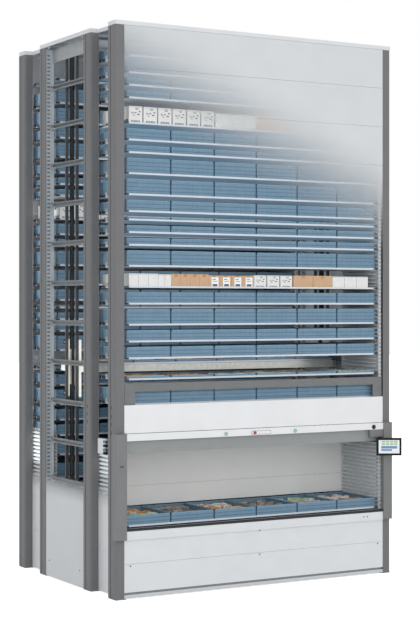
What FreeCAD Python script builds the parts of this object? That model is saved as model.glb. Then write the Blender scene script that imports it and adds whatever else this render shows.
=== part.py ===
import FreeCAD
import Part
import Sketcher
import os
import re

# A vertical lift module: two stacks of trays with a lift between them, in a cabinet of
# folded steel posts and covers. Millimetres. The origin is on the floor, in the middle of
# the foot plates; +X is to the right of someone at the access opening, +Y runs to the back
# and +Z is up.

doc = FreeCAD.newDocument("vertical_lift_module")
sheet = doc.addObject("Spreadsheet::Sheet", "Sizes")

SIZES = [
    # Cabinet
    ("width", 3380, "across the outer faces of the posts"),
    ("depth", 2436, "from the front posts to the rear posts"),
    ("height", 5800, "from the floor to the top of the roof"),
    ("roof_thick", 42, "height of the roof cover's edge"),
    ("foot_thick", 8, "foot plates under the posts"),
    ("foot_reach", 24, "how far a foot plate runs in past its post"),
    ("anchor_radius", 9, "hole for a floor anchor"),
    ("post_wide", 98, "post, across the front"),
    ("post_deep", 167, "post, front to back"),
    ("post_wall", 3, "sheet of the post"),
    ("post_round", 20, "round of the post's outer front corner"),
    ("post_bay", 410, "clear length between a corner post and the next one"),
    ("groove_wide", 14, "groove down the post's outer face"),
    ("groove_deep", 8, "depth of that groove"),
    ("groove_back", 46, "from the post's back to the groove"),
    ("joint_gap", 2, "gap between neighbouring covers"),
    ("sheet_thick", 2, "steel sheet of the covers"),
    ("cover_fold", 10, "depth of a front or rear cover"),
    ("side_fold", 5, "depth of a side cover"),
    ("cover_set_back", 1, "cover's face behind the post's face"),
    ("recess_seam", 434, "height of the seam in the recessed side covers"),
    ("front_panels", 9, "covers stacked above the header"),
    ("rear_panels", 13, "covers stacked at the back"),
    # Access opening
    ("header_low", 1662, "lower edge of the header cover"),
    ("header_high", 1945, "upper edge of the header cover"),
    ("band_low", 1587, "lower edge of the control band"),
    ("band_high", 1658, "upper edge of the control band"),
    ("band_proud", 28, "control band in front of the posts"),
    ("head_low", 1460, "ceiling of the access opening"),
    ("head_back", 20, "head plate behind the posts' face"),
    ("wall_back", 738, "rear wall of the opening behind the posts' face"),
    ("wall_seam", 1042, "seam in that rear wall"),
    ("wall_low", 838, "lower edge of that rear wall, above the bins"),
    ("sleeve_low", 598, "lower end of the opening's side covers"),
    ("sleeve_high", 1660, "upper end of the opening's side covers"),
    ("sleeve_proud", 35, "side covers in front of the posts"),
    ("sleeve_side", 1, "gap between a side cover and its post"),
    ("sleeve_thick", 3, "wall of a side cover"),
    ("sleeve_wide", 116, "side cover, across the front"),
    ("sleeve_wrap", 60, "how far a side cover runs back along its post"),
    ("sleeve_return", 40, "how much shorter a side cover is on its inner side"),
    ("counter_low", 594, "lower edge of the counter band"),
    ("counter_high", 684, "upper edge of the counter band"),
    ("counter_proud", 24, "counter band in front of the posts"),
    ("edge_tall", 22, "black edge strip"),
    ("edge_deep", 24, "black edge strip, front to back"),
    ("ledge_back", 48, "rear edge of the ledge behind the edge strip"),
    ("ledge_thick", 14, "height of the ledge"),
    ("plinth_high", 45, "top of the plinth"),
    ("base_cover_low", 68, "lower edge of the lower base cover"),
    ("base_cover_seam", 350, "seam between the base covers"),
    # Frame inside
    ("base_high", 70, "top of the floor frame"),
    ("base_sheet", 4, "sheet of the floor frame"),
    ("frame_side", 6, "side frame behind the cabinet's outer face"),
    ("upright_wide", 70, "side frame upright, across"),
    ("upright_deep", 40, "side frame upright, front to back"),
    ("frame_sheet", 3, "sheet of the galvanised frame"),
    ("slot_pitch", 42.4, "step of the tray ribs and of the slots"),
    ("slot_wide", 34, "slot in a side frame upright"),
    ("slot_place", 23, "middle of that slot, in from the upright's outer edge"),
    ("slot_tall", 18, "height of a slot"),
    ("brace_tall", 56, "side brace"),
    ("brace_deep", 27, "side brace, out from the upright's inner side"),
    ("brace_lip", 15, "folded lip of a side brace"),
    ("brace_lap", 14, "how far a side brace laps an upright"),
    ("brace_steps", 10, "slot steps from one brace to the next"),
    ("brace_first", 217, "height of the lowest brace's middle"),
    ("top_plate_tall", 150, "galvanised plate under the roof"),
    ("roof_gap", 23, "from the frame's top to the roof cover"),
    ("cross_deep", 60, "cross member under the roof, front to back"),
    ("cross_tall", 40, "cross member under the roof"),
    # Trays and their ribs
    ("tray_wide", 3100, "tray, left to right"),
    ("tray_deep", 654, "tray, front to back"),
    ("tray_tall", 18, "tray lip"),
    ("tray_sheet", 2, "sheet of a tray"),
    ("hook_proud", 14, "pull block in front of and behind a tray"),
    ("hook_in", 32, "pull block's inner side, in from the tray's end"),
    ("hook_out", 4, "pull block's outer side, past the tray's end"),
    ("hook_tall", 16, "top of the pull block over the tray's underside"),
    ("stack_gap", 60, "from the cabinet's face to the trays"),
    ("top_level", 5457, "underside of the highest tray"),
    ("rib_lap", 14, "how far a tray lies on a rib"),
    ("rib_sheet", 1.5, "sheet that the ribs are rolled from"),
    ("rib_wall_back", 6, "gap between the posts and the rib wall"),
    ("rib_tip", 10, "thickness of a rib at its tip"),
    ("rib_root", 26, "thickness of a rib at the wall"),
    ("rack_wide", 30, "rack upright, across"),
    ("rack_deep", 26, "rack upright, front to back"),
    ("rack_start", 24, "front of the rack uprights behind the cabinet's face"),
    ("rack_slot", 16, "slot in a rack upright"),
    ("access_level", 715, "underside of the tray in the access opening"),
    # Bins and cartons
    ("bin_pitch", 513, "step from bin to bin"),
    ("bin_wide", 505, "bin, left to right"),
    ("bin_deep", 640, "bin, front to back"),
    ("bin_wall", 3, "wall of a bin"),
    ("bin_room", 46, "free height over a bin"),
    ("access_bin_top", 829, "rim of the bins in the access opening"),
    ("carton_pitch", 168, "step from carton to carton"),
    ("carton_wide", 156, "carton, left to right"),
    ("carton_deep", 600, "carton, front to back"),
    ("carton_tall", 180, "cartons on the upper and the rear carton tray"),
    ("low_carton_tall", 144, "cartons on the lower carton tray"),
    # Portal behind the header
    ("portal_start", 12, "front of the portal behind the cabinet's face"),
    ("portal_deep", 11, "portal, front to back"),
    ("portal_edge", 106, "portal's leg in from the cabinet's side"),
    ("portal_leg", 121, "width of the portal's leg"),
    ("portal_low", 2080, "underside of the portal's bar"),
    ("portal_high", 2161, "top of the portal's bar"),
    # Lift
    ("guide_wide", 32, "guide post, across"),
    ("guide_deep", 20, "guide post, front to back"),
    ("guide_wall", 3, "wall of the guide post"),
    ("guide_spread", 256, "between the guide posts' middles"),
    ("lift_steps", 74, "slot steps from the top level down to the lift at rest"),
    ("plate_side", 108, "lift's side plate in from the cabinet's side"),
    ("plate_thick", 6, "lift's side plate"),
    ("plate_deep", 376, "lift's side plate, front to back"),
    ("plate_low", 1975, "lower end of the side plate"),
    ("plate_high", 2583, "upper end of the side plate"),
    ("plate_notch", 100, "notch round the belt, front to back"),
    ("notch_high", 2481, "bottom of the upper notch"),
    ("notch_low", 2106, "top of the lower notch"),
    ("beam_tall", 77, "lift beams"),
    ("beam_wide", 40, "cross beam, front to back"),
    ("beam_wall", 4, "sheet of the beams"),
    ("beam_drop", 3, "cross beams below the tray"),
    ("roller_radius", 28, "guide roller"),
    ("roller_wide", 26, "guide roller"),
    ("roller_gap", 0.3, "between a roller and its guide post"),
    ("roller_low", 2006, "height of the lower rollers"),
    ("roller_high", 2555, "height of the upper rollers"),
    ("roller_pin", 8, "radius of a roller's pin"),
    ("running_gap", 0.05, "radial clearance of a shaft in its bearing"),
    ("belt_side", 74, "belt in from the cabinet's side"),
    ("belt_wide", 32, "toothed belt"),
    ("belt_thick", 4, "toothed belt"),
    ("pulley_radius", 22, "belt pulley"),
    ("pulley_gap", 0.3, "between a pulley's rim and the belt"),
    ("pulley_high", 5660, "height of the upper pulleys"),
    ("shaft_high", 160, "height of the drive shaft"),
    ("shaft_radius", 14, "drive shaft"),
    ("shaft_end", 74, "end of the drive shaft in from the cabinet's side"),
    ("axle_radius", 10, "upper pulley's axle"),
    ("bearing_wide", 40, "pillow block, along the shaft"),
    ("bearing_deep", 110, "pillow block, front to back"),
    ("bearing_rise", 34, "pillow block over the shaft's middle"),
    ("motor_side", 420, "gear motor in from the cabinet's right side"),
    ("gearbox_wide", 130, "gearbox, along the shaft"),
    ("gearbox_deep", 150, "gearbox, front to back"),
    ("gearbox_rise", 86, "gearbox over the shaft's middle"),
    ("motor_radius", 62, "motor"),
    ("motor_long", 230, "motor"),
    # Tray extractor on the lift
    ("chain_side", 180, "extractor chain in from the cabinet's side"),
    ("chain_wide", 14, "extractor chain"),
    ("chain_thick", 4, "extractor chain"),
    ("sprocket_radius", 26, "extractor sprocket"),
    ("sprocket_inset", 70, "sprocket's axle in from the lift's end"),
    ("extract_radius", 12, "extractor shaft"),
    ("extract_drop", 36, "extractor shaft below the tray"),
    ("hanger_thick", 8, "bearing plate of an extractor shaft"),
    ("extract_motor_wide", 180, "extractor motor"),
    ("extract_motor_deep", 90, "extractor motor"),
    # Controls
    ("control_height", 1616, "middle of the buttons and of the key switch"),
    ("green_place", 426, "green buttons, left and right of the middle"),
    ("stop_place", -82, "stop button from the middle"),
    ("label_wide", 240, "bare label plate round the stop button"),
    ("label_low", 1595, "its lower edge"),
    ("label_high", 1634, "its upper edge"),
    ("label_round", 9, "round of its corners"),
    ("label_thick", 1, "sheet of the label plate"),
    ("key_place", 1450, "key switch from the middle"),
    ("green_radius", 17, "green button"),
    ("green_stem", 11, "its stem"),
    ("green_proud", 9, "green button in front of the band"),
    ("stop_radius", 15, "stop button"),
    ("stop_stem", 8, "its stem"),
    ("stop_proud", 22, "stop button in front of the band"),
    ("stop_head", 12, "head of the stop button"),
    ("key_radius", 20, "key switch"),
    ("key_stem", 12, "its barrel"),
    ("key_proud", 10, "key switch in front of the band"),
    ("stem_gap", 0.5, "gap round a button's stem"),
    ("stem_in", 12, "stem behind the band's sheet"),
    # Operator panel
    ("panel_wide", 272, "operator panel"),
    ("panel_tall", 190, "operator panel"),
    ("panel_thick", 34, "operator panel"),
    ("panel_rim", 22, "black rim round the screen"),
    ("screen_sunk", 2, "screen behind the rim"),
    ("panel_turn", -29.93, "the panel's turn about +Z, in degrees"),
    ("panel_shift", 89, "panel's middle to the right of its arm"),
    ("panel_height", 1405, "height of the panel's middle"),
    ("pivot_place", 1540, "arm's pivot from the middle"),
    ("pivot_proud", 14, "arm's pivot in front of the posts"),
    ("pivot_radius", 8, "arm's pin"),
    ("arm_radius", 11, "arm's tube"),
    ("reach_radius", 8, "the arm's lower tube"),
    ("arm_long", 62, "from the arm's pivot to the tilt axis"),
    ("tilt_back", 26, "tilt axis behind the panel"),
    ("tilt_pin", 5, "tilt pin"),
    ("tilt_eye", 20, "width of the eye on the arm"),
    ("ear_thick", 4, "ears on the panel's back"),
    ("ear_gap", 0.3, "gap between an ear and the eye"),
    ("bracket_left", 1406, "left side of the panel's bracket from the middle"),
    ("bracket_right", 1573, "its right side"),
    ("bracket_low", 1507, "its underside"),
    ("bracket_back", 18, "its back behind the posts' face"),
    ("bracket_front", 26, "its front before the posts' face"),
    # Terminal box and screws
    ("box_out", 44, "terminal box out from the recessed cover"),
    ("box_long", 200, "terminal box, front to back"),
    ("box_tall", 155, "terminal box"),
    ("box_low", 1430, "underside of the terminal box"),
    ("box_start", 300, "front of the terminal box behind the cabinet's face"),
    ("screw_radius", 8, "screw head"),
    ("screw_head", 3, "height of a screw head"),
    ("lock_radius", 11, "lock in an opening's side cover"),
    ("lock_height", 1336, "height of that lock"),
]

# Slot steps from the highest level down to each stored tray, and the free steps over it
# that its bins fill.
FRONT_BINS = [(0, 4), (4, 4), (7, 3), (10, 3), (20, 4), (23, 3), (28, 5), (33, 5), (37, 4),
              (39, 2), (42, 3), (45, 3), (50, 5), (59, 4), (64, 5), (68, 4), (72, 4),
              (77, 2), (83, 5), (114, 2)]
REAR_BINS = [(1, 2), (7, 5), (12, 5), (16, 4), (21, 5), (25, 4), (28, 3), (31, 3),
             (41, 4), (44, 3), (49, 5), (54, 5), (58, 4), (60, 2), (63, 3), (66, 3), (71, 5),
             (76, 2), (80, 4), (85, 5), (89, 4), (93, 4), (98, 5), (104, 5), (109, 5),
             (113, 4), (118, 5), (122, 4)]
UPPER_CARTONS = 16
LOWER_CARTONS = 55
REAR_CARTONS = 37
CARTONS = 18
BINS = 6
# First and last rib, as slot steps down from the highest level, of each wall of ribs.
FRONT_RIBS = [(-4, 85), (113, 124)]
REAR_RIBS = [(-4, 124)]
ACCESS_RIBS = 18
BRACES = 13

for row, (alias, value, note) in enumerate(SIZES, 1):
    sheet.set(f"A{row}", note)
    sheet.set(f"B{row}", str(value))
    sheet.setAlias(f"B{row}", alias)
doc.recompute()

WORD = re.compile(r"[a-z][a-z_0-9]*")
X_AXIS = FreeCAD.Vector(1, 0, 0)
Y_AXIS = FreeCAD.Vector(0, 1, 0)
Z_AXIS = FreeCAD.Vector(0, 0, 1)
ORIGIN = FreeCAD.Vector(0, 0, 0)
nodes = []


def formula(text):
    """The text with each size's name pointing at its cell in the sheet."""
    return WORD.sub(lambda found: "Sizes." + found.group(), str(text))


def size(alias):
    return float(sheet.get(alias))


def from_left(text):
    return f"-width / 2 + ({text})"


def from_front(text):
    return f"-depth / 2 + ({text})"


def from_back(text):
    return f"depth / 2 - ({text})"


def either_side(text):
    return f"-({text})", text


def block(name, x, y, z):
    """A box between two formulas along each axis."""
    box = doc.addObject("Part::Box", name)
    for side, axis, (low, high) in zip(("Length", "Width", "Height"), "xyz", (x, y, z)):
        box.setExpression(side, formula(f"({high}) - ({low})"))
        box.setExpression(f"Placement.Base.{axis}", formula(low))
    return box


def rod(name, along, radius, span, at):
    """A cylinder along an axis over a span, at two formulas for the other two axes."""
    turn = {"x": FreeCAD.Rotation(Y_AXIS, 90), "y": FreeCAD.Rotation(X_AXIS, -90),
            "z": FreeCAD.Rotation()}[along]
    cylinder = doc.addObject("Part::Cylinder", name)
    cylinder.Placement = FreeCAD.Placement(ORIGIN, turn)
    cylinder.setExpression("Radius", formula(radius))
    cylinder.setExpression("Height", formula(f"({span[1]}) - ({span[0]})"))
    cylinder.setExpression(f"Placement.Base.{along}", formula(span[0]))
    for axis, place in zip("xyz".replace(along, ""), at):
        cylinder.setExpression(f"Placement.Base.{axis}", formula(place))
    return cylinder


def group(name, *pieces):
    """Separate pieces held together as one object."""
    compound = doc.addObject("Part::Compound", name)
    compound.Links = list(pieces)
    return compound


def fuse(name, *pieces):
    joined = doc.addObject("Part::MultiFuse", name)
    joined.Shapes = list(pieces)
    return joined


def cut(name, base, *tools):
    result = doc.addObject("Part::Cut", name)
    result.Base = base
    result.Tool = tools[0] if len(tools) == 1 else group(name + "_tools", *tools)
    return result


def mirror(name, piece):
    """The piece as it is on the other side of the cabinet."""
    twin = doc.addObject("Part::Mirroring", name)
    twin.Source = piece
    twin.Base = ORIGIN
    twin.Normal = X_AXIS
    return twin


def pair(name, piece):
    return group(name, piece, mirror(name + "_twin", piece))


def copy(name, piece, x="0", y="0", z="0"):
    """The same piece again, moved by three formulas."""
    link = doc.addObject("App::Link", name)
    link.LinkedObject = piece
    link.LinkTransform = True
    for axis, place in zip("xyz", (x, y, z)):
        link.setExpression(f"Placement.Base.{axis}", formula(place))
    return link


def node(label, piece):
    """Names a finished sub-part."""
    piece.Label = label
    nodes.append(piece)
    return piece


def cover(name, x, y, z, opens):
    """A folded sheet cover: a shallow tray that opens to one side, such as +y."""
    sides = dict(zip("xyz", (x, y, z)))
    inner = {}
    for axis, (low, high) in sides.items():
        inner_low = f"({low}) + sheet_thick"
        inner_high = f"({high}) - sheet_thick"
        if opens == "+" + axis:
            inner_high = f"({high}) + sheet_thick"
        if opens == "-" + axis:
            inner_low = f"({low}) - sheet_thick"
        inner[axis] = (inner_low, inner_high)
    outer = block(name + "_outer", *sides.values())
    return cut(name, outer, block(name + "_inner", *inner.values()))


def stack(name, piece, count, step, z):
    return group(name, *[copy(f"{name}_{n}", piece, z=f"({z}) + {n} * ({step})")
                         for n in range(count)])


def level(steps):
    """Underside of a tray a number of slot steps below the highest one."""
    return f"top_level - {steps} * slot_pitch"


ROOF_LOW = "height - roof_thick"
FRAME_TOP = "height - roof_thick - roof_gap"
BETWEEN_POSTS = either_side("width / 2 - post_wide - joint_gap")
BETWEEN_SLEEVES = either_side("width / 2 + sleeve_side + sleeve_thick - sleeve_wide - joint_gap / 2")
LEDGE_TOP = "counter_high + edge_tall"
POST_STARTS = ["0", "post_deep + post_bay", "depth - 2 * post_deep - post_bay", "depth - post_deep"]
SHAFT_START = "2 * post_deep + post_bay + joint_gap"
SHAFT_END = "depth - 2 * post_deep - post_bay - joint_gap"
FRONT_COVER = (from_front("cover_set_back"), from_front("cover_set_back + cover_fold"))


# Foot plates and posts

def foot_plate(name, start):
    plate = block(name + "_plate", (from_left("2"), from_left("post_wide + foot_reach")),
                  (from_front(start), from_front(f"{start} + post_deep")), ("0", "foot_thick"))
    hole = rod(name + "_hole", "z", "anchor_radius", ("-1", "foot_thick + 1"),
               (from_left("post_wide / 2"), from_front(f"{start} + post_deep / 2")))
    return cut(name, plate, hole)


feet = group("left_feet", *[foot_plate(f"foot_{n}", start) for n, start in enumerate(POST_STARTS)])
node("foot_plates", pair("foot_pairs", feet))


def absolute(sketch, geometry, end, x, y):
    """Holds a line's end at two formulas from the sketch's origin."""
    for kind, place in (("DistanceX", x), ("DistanceY", y)):
        index = sketch.addConstraint(Sketcher.Constraint(kind, -1, 1, geometry, end, 1.0))
        sketch.setExpression(f"Constraints[{index}]", formula(place))


def profile_body(name, plane, points, length, back=False):
    """A body padded from a closed outline whose corners are formulas."""
    body = doc.addObject("PartDesign::Body", name)
    sketch = body.newObject("Sketcher::SketchObject", name + "_outline")
    support = [item for item in body.Origin.OriginFeatures if item.Role == plane][0]
    sketch.AttachmentSupport = [(support, "")]
    sketch.MapMode = "FlatFace"
    count = len(points)
    for n in range(count):
        sketch.addGeometry(Part.LineSegment(FreeCAD.Vector(n, n * n, 0),
                                            FreeCAD.Vector(n + 1, (n + 1) ** 2, 0)), False)
    for n in range(count):
        sketch.addConstraint(Sketcher.Constraint("Coincident", n, 2, (n + 1) % count, 1))
        absolute(sketch, n, 1, *points[n])
    pad = body.newObject("PartDesign::Pad", name + "_pad")
    pad.Profile = sketch
    pad.setExpression("Length", formula(length))
    pad.Reversed = back
    return body


GROOVE_NEAR = "post_deep - groove_back - groove_wide"
GROOVE_FAR = "post_deep - groove_back"
CAVITY = "groove_deep + post_wall"
post = profile_body("post", "XY_Plane", [
    ("0", "0"), ("post_wide", "0"), ("post_wide", "post_wall"), (CAVITY, "post_wall"),
    (CAVITY, "post_deep - post_wall"), ("post_wide", "post_deep - post_wall"),
    ("post_wide", "post_deep"), ("0", "post_deep"), ("0", GROOVE_FAR),
    ("groove_deep", GROOVE_FAR), ("groove_deep", GROOVE_NEAR), ("0", GROOVE_NEAR),
], "height - roof_thick - foot_thick")
doc.recompute()


def upright_edge(shape, x, y):
    """Name of the vertical edge at a place."""
    for n, edge in enumerate(shape.Edges, 1):
        places = [(round(v.X - x, 3), round(v.Y - y, 3)) for v in edge.Vertexes]
        if places == [(0, 0), (0, 0)]:
            return f"Edge{n}"
    raise ValueError("no edge there")


post_pad = post.Tip
corner = post.newObject("PartDesign::Fillet", "post_corner")
corner.Base = (post_pad, [upright_edge(post.Shape, 0, 0)])
corner.setExpression("Radius", formula("post_round"))
for axis, place in zip("xyz", (from_left("0"), from_front("0"), "foot_thick")):
    post.setExpression(f"Placement.Base.{axis}", formula(place))


node("front_posts", pair("front_post_pair", post))
node("rear_posts", pair("rear_post_pairs", group(
    "left_rear_posts", *[copy(f"rear_post_{n}", post, y=start) for n, start in enumerate(POST_STARTS[1:])])))


# Roof cover, stepped in between the posts on each side

def roof_shape(name, inset, low, high):
    """The roof's outline, made smaller all round by an inset, between two heights."""
    slab = block(name + "_slab", either_side(f"width / 2 - {inset}"), either_side(f"depth / 2 - {inset}"),
                 (low, high))
    notches = []
    for side, start, end in (("front", from_front("post_deep"), from_front("post_deep + post_bay")),
                             ("rear", from_back("post_deep + post_bay"), from_back("post_deep"))):
        notch = block(f"{name}_{side}", (from_left("-1"), from_left(f"post_wide - joint_gap + {inset}")),
                      (f"{start} - {inset}", f"{end} + {inset}"), (f"{low} - 1", f"{high} + 1"))
        notches.append(pair(f"{name}_{side}_pair", notch))
    return cut(name, slab, *notches)


node("roof_cover", cut("roof", roof_shape("roof_outside", "0", ROOF_LOW, "height"),
                       roof_shape("roof_inside", "sheet_thick", f"{ROOF_LOW} - 1", "height - sheet_thick")))


# Covers of the cabinet

SIDE_SPAN = (from_front(SHAFT_START), from_front(SHAFT_END))
side_cover = cover("side_cover", (from_left("cover_set_back"), from_left("side_fold")),
                   SIDE_SPAN, ("foot_thick + joint_gap", ROOF_LOW), "+x")
node("side_covers", pair("side_cover_pair", side_cover))


def recess_cover(name, start, end, low, high):
    return cover(name, (from_left("post_wide - side_fold - sheet_thick"), from_left("post_wide")),
                 (start, end), (low, high), "+x")


recess_pieces = []
for name, start, end in (
    ("front", from_front("post_deep + joint_gap"), from_front("post_deep + post_bay - joint_gap")),
    ("rear", from_back("post_deep + post_bay - joint_gap"), from_back("post_deep + joint_gap")),
):
    recess_pieces.append(recess_cover(f"{name}_recess_low", start, end,
                                      "foot_thick + joint_gap", "recess_seam - joint_gap"))
    recess_pieces.append(recess_cover(f"{name}_recess_high", start, end, "recess_seam", ROOF_LOW))
node("recess_covers", pair("recess_pairs", group("left_recess_covers", *recess_pieces)))

rear_count = int(size("rear_panels"))
REAR_LOW = "foot_thick + joint_gap"
REAR_STEP = f"(({ROOF_LOW}) - ({REAR_LOW})) / rear_panels"
rear_cover = cover("rear_cover", BETWEEN_POSTS,
                   (from_back("cover_set_back + cover_fold"), from_back("cover_set_back")),
                   ("0", f"{REAR_STEP} - joint_gap"), "-y")
node("rear_covers", stack("rear_stack", rear_cover, rear_count, REAR_STEP, REAR_LOW))

front_count = int(size("front_panels"))
FRONT_STEP = f"(({ROOF_LOW}) - header_high - joint_gap) / front_panels"
front_cover = cover("front_cover", BETWEEN_POSTS, FRONT_COVER, ("0", f"{FRONT_STEP} - joint_gap"), "+y")
node("front_upper_covers", stack("front_stack", front_cover, front_count, FRONT_STEP,
                                 "header_high + joint_gap"))
node("header_cover", cover("header", BETWEEN_POSTS, FRONT_COVER, ("header_low", "header_high"), "+y"))
node("base_cover_upper", cover("upper_base", BETWEEN_POSTS, FRONT_COVER,
                               ("base_cover_seam + joint_gap", "counter_low - joint_gap"), "+y"))
node("base_cover_lower", cover("lower_base", BETWEEN_POSTS, FRONT_COVER,
                               ("base_cover_low", "base_cover_seam"), "+y"))
node("plinth", cover("plinth_board", BETWEEN_POSTS, FRONT_COVER,
                     ("foot_thick + joint_gap", "plinth_high"), "+y"))


# Access opening: control band, head plate, rear wall, counter and side covers

BAND_FACE = from_front("-band_proud")
BAND_SHEET = from_front("sheet_thick - band_proud")


def band_hole(name, place, radius):
    return rod(name, "y", f"{radius} + stem_gap",
               (f"{BAND_FACE} - 1", f"{BAND_SHEET} + 1"), (place, "control_height"))


band = cover("band", BETWEEN_SLEEVES, (BAND_FACE, from_front("cover_set_back + cover_fold")),
             ("band_low", "band_high"), "+y")
node("control_band", cut(
    "band_with_holes", band, band_hole("green_hole_left", "-green_place", "green_stem"),
    band_hole("green_hole_right", "green_place", "green_stem"),
    band_hole("stop_hole", "stop_place", "stop_stem"),
    band_hole("key_hole", "key_place", "key_stem")))

RIB_TIP = "tray_wide / 2 - rib_lap"
RIB_WALL = "width / 2 - post_wide - rib_wall_back"
BIN_ROW = either_side(f"{RIB_TIP} - joint_gap")
head_plate = block("head_plate", BETWEEN_SLEEVES,
                   (from_front("head_back"), from_front("head_back + sheet_thick")),
                   ("head_low", "band_low - joint_gap"))
ceiling = block("ceiling", BIN_ROW, (from_front("head_back"), from_front("wall_back - joint_gap")),
                ("head_low", "head_low + sheet_thick"))
node("opening_head", fuse("head", head_plate, ceiling))

RACK_INNER = f"{RIB_WALL} - rack_wide"
BACK_WALL = (from_front("wall_back"), from_front("wall_back + sheet_thick"))
WALL_WIDE = either_side(f"{RACK_INNER} - joint_gap")
node("opening_back_wall", group(
    "back_wall",
    block("wall_upper", WALL_WIDE, BACK_WALL, ("wall_seam + joint_gap", "head_low + sheet_thick")),
    block("wall_lower", WALL_WIDE, BACK_WALL, ("wall_low", "wall_seam"))))

COUNTER_FACE = from_front("-counter_proud")
node("counter_band", cover("counter_front", BETWEEN_SLEEVES,
                           (COUNTER_FACE, from_front("cover_set_back + cover_fold")),
                           ("counter_low", "counter_high - joint_gap"), "+y"))
EDGE_BACK = from_front("edge_deep - counter_proud - joint_gap")
edge_bar = block("edge_bar", BETWEEN_SLEEVES, (f"{EDGE_BACK} - edge_deep + edge_tall / 2", EDGE_BACK),
                 ("counter_high", LEDGE_TOP))
edge_nose = rod("edge_nose", "x", "edge_tall / 2", BETWEEN_SLEEVES,
                (f"{EDGE_BACK} - edge_deep + edge_tall / 2", "counter_high + edge_tall / 2"))
node("counter_edge", fuse("edge_strip", edge_bar, edge_nose))
node("counter_ledge", block("ledge", WALL_WIDE,
                            (f"{EDGE_BACK} + joint_gap / 2", from_front("ledge_back")),
                            (f"{LEDGE_TOP} - ledge_thick", LEDGE_TOP)))

OUT = "-sleeve_side - sleeve_thick"
IN = f"{OUT} + sleeve_wide"
sleeve = profile_body("sleeve", "XY_Plane", [
    (OUT, "-sleeve_proud"), (IN, "-sleeve_proud"), (IN, "sleeve_wrap - sleeve_return"),
    (f"{IN} - sleeve_thick", "sleeve_wrap - sleeve_return"),
    (f"{IN} - sleeve_thick", "sleeve_thick - sleeve_proud"),
    ("-sleeve_side", "sleeve_thick - sleeve_proud"), ("-sleeve_side", "sleeve_wrap"),
    (OUT, "sleeve_wrap"),
], "sleeve_high - sleeve_low")
doc.recompute()
sleeve_out = size("sleeve_side") + size("sleeve_thick")
sleeve_pad = sleeve.Tip
sleeve_edge = sleeve.newObject("PartDesign::Fillet", "sleeve_edge")
sleeve_edge.Base = (sleeve_pad, [upright_edge(sleeve.Shape, -sleeve_out, -size("sleeve_proud"))])
sleeve_edge.setExpression("Radius", formula("sleeve_thick * 1.4"))
for axis, place in zip("xyz", (from_left("0"), from_front("0"), "sleeve_low")):
    sleeve.setExpression(f"Placement.Base.{axis}", formula(place))
node("opening_covers", pair("opening_cover_pair", sleeve))


# Portal behind the header, round the tray above the access opening

def portal_part(name, inset, start, end, low_extra):
    outer = "width / 2 - portal_edge"
    low = "header_low"
    bar = block(name + "_bar", either_side(f"{outer} - {inset}"), (start, end),
                (f"portal_low + {inset}", f"portal_high - {inset}"))
    leg = block(name + "_leg", (f"-({outer} - {inset})", f"-({outer} - portal_leg + {inset})"),
                (start, end), (f"{low} - {low_extra}", f"portal_low + {inset}"))
    return fuse(name, bar, pair(name + "_legs", leg))


portal_outer = portal_part("portal_outer", "0", from_front("portal_start"),
                           from_front("portal_start + portal_deep"), "0")
portal_inner = portal_part("portal_inner", "sheet_thick", from_front("portal_start + sheet_thick"),
                           from_front("portal_start + portal_deep + 1"), "1")
node("portal_frame", cut("portal", portal_outer, portal_inner))


# Floor frame

def floor_slab(name, inset, low, high):
    long_slab = block(name + "_long", either_side(f"{RIB_WALL} - {inset}"),
                      either_side(f"depth / 2 - cover_set_back - cover_fold - joint_gap - {inset}"), (low, high))
    wide_slab = block(name + "_wide", either_side(f"width / 2 - frame_side - {inset}"),
                      (from_front(f"{SHAFT_START} + {inset}"), from_front(f"{SHAFT_END} - {inset}")),
                      (low, high))
    return fuse(name, long_slab, wide_slab)


node("floor_frame", cut("floor", floor_slab("floor_outer", "0", "foot_thick", "base_high"),
                        floor_slab("floor_inner", "base_sheet", "foot_thick - 1",
                                   "base_high - base_sheet")))


# Side frames: slotted uprights, braces and the plates under the roof

slot_count = int((size("height") - size("roof_thick") - size("roof_gap") - size("base_high"))
                 / size("slot_pitch")) - 1


def slotted_upright(name, x, y, opens, slots_x, outer_side=True):
    """A channel, or an angle, from the floor frame to the top with a slot at each step."""
    ends = ("base_high", FRAME_TOP)
    outer = block(name + "_outer", x, y, ends)
    room, web = {"+y": ((f"({y[0]}) + frame_sheet", f"({y[1]}) + 1"), y[0]),
                 "-y": ((f"({y[0]}) - 1", f"({y[1]}) - frame_sheet"), f"({y[1]}) - frame_sheet")}[opens]
    side = "frame_sheet" if outer_side else "-1"
    hollow = block(name + "_hollow", (f"({x[0]}) + {side}", f"({x[1]}) - frame_sheet"), room,
                   ("base_high - 1", f"{FRAME_TOP} + 1"))
    slot = block(name + "_slot", slots_x, (f"({web}) - 1", f"({web}) + frame_sheet + 1"),
                 ("-slot_tall / 2", "slot_tall / 2"))
    slots = stack(name + "_slots", slot, slot_count, "slot_pitch", "base_high + slot_pitch")
    return cut(name, outer, hollow, slots)


FRAME_SIDE = from_left("frame_side")
UPRIGHT_X = (FRAME_SIDE, f"{FRAME_SIDE} + upright_wide")
UPRIGHT_SLOT = (f"{FRAME_SIDE} + slot_place - slot_wide / 2", f"{FRAME_SIDE} + slot_place + slot_wide / 2")
FRONT_UPRIGHT = (from_front(SHAFT_START), from_front(f"{SHAFT_START} + upright_deep"))
REAR_UPRIGHT = (from_front(f"{SHAFT_END} - upright_deep"), from_front(SHAFT_END))
node("side_uprights", pair("upright_pairs", group(
    "left_uprights",
    slotted_upright("front_upright", UPRIGHT_X, FRONT_UPRIGHT, "+y", UPRIGHT_SLOT, outer_side=False),
    slotted_upright("rear_upright", UPRIGHT_X, REAR_UPRIGHT, "-y", UPRIGHT_SLOT, outer_side=False))))

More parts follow.
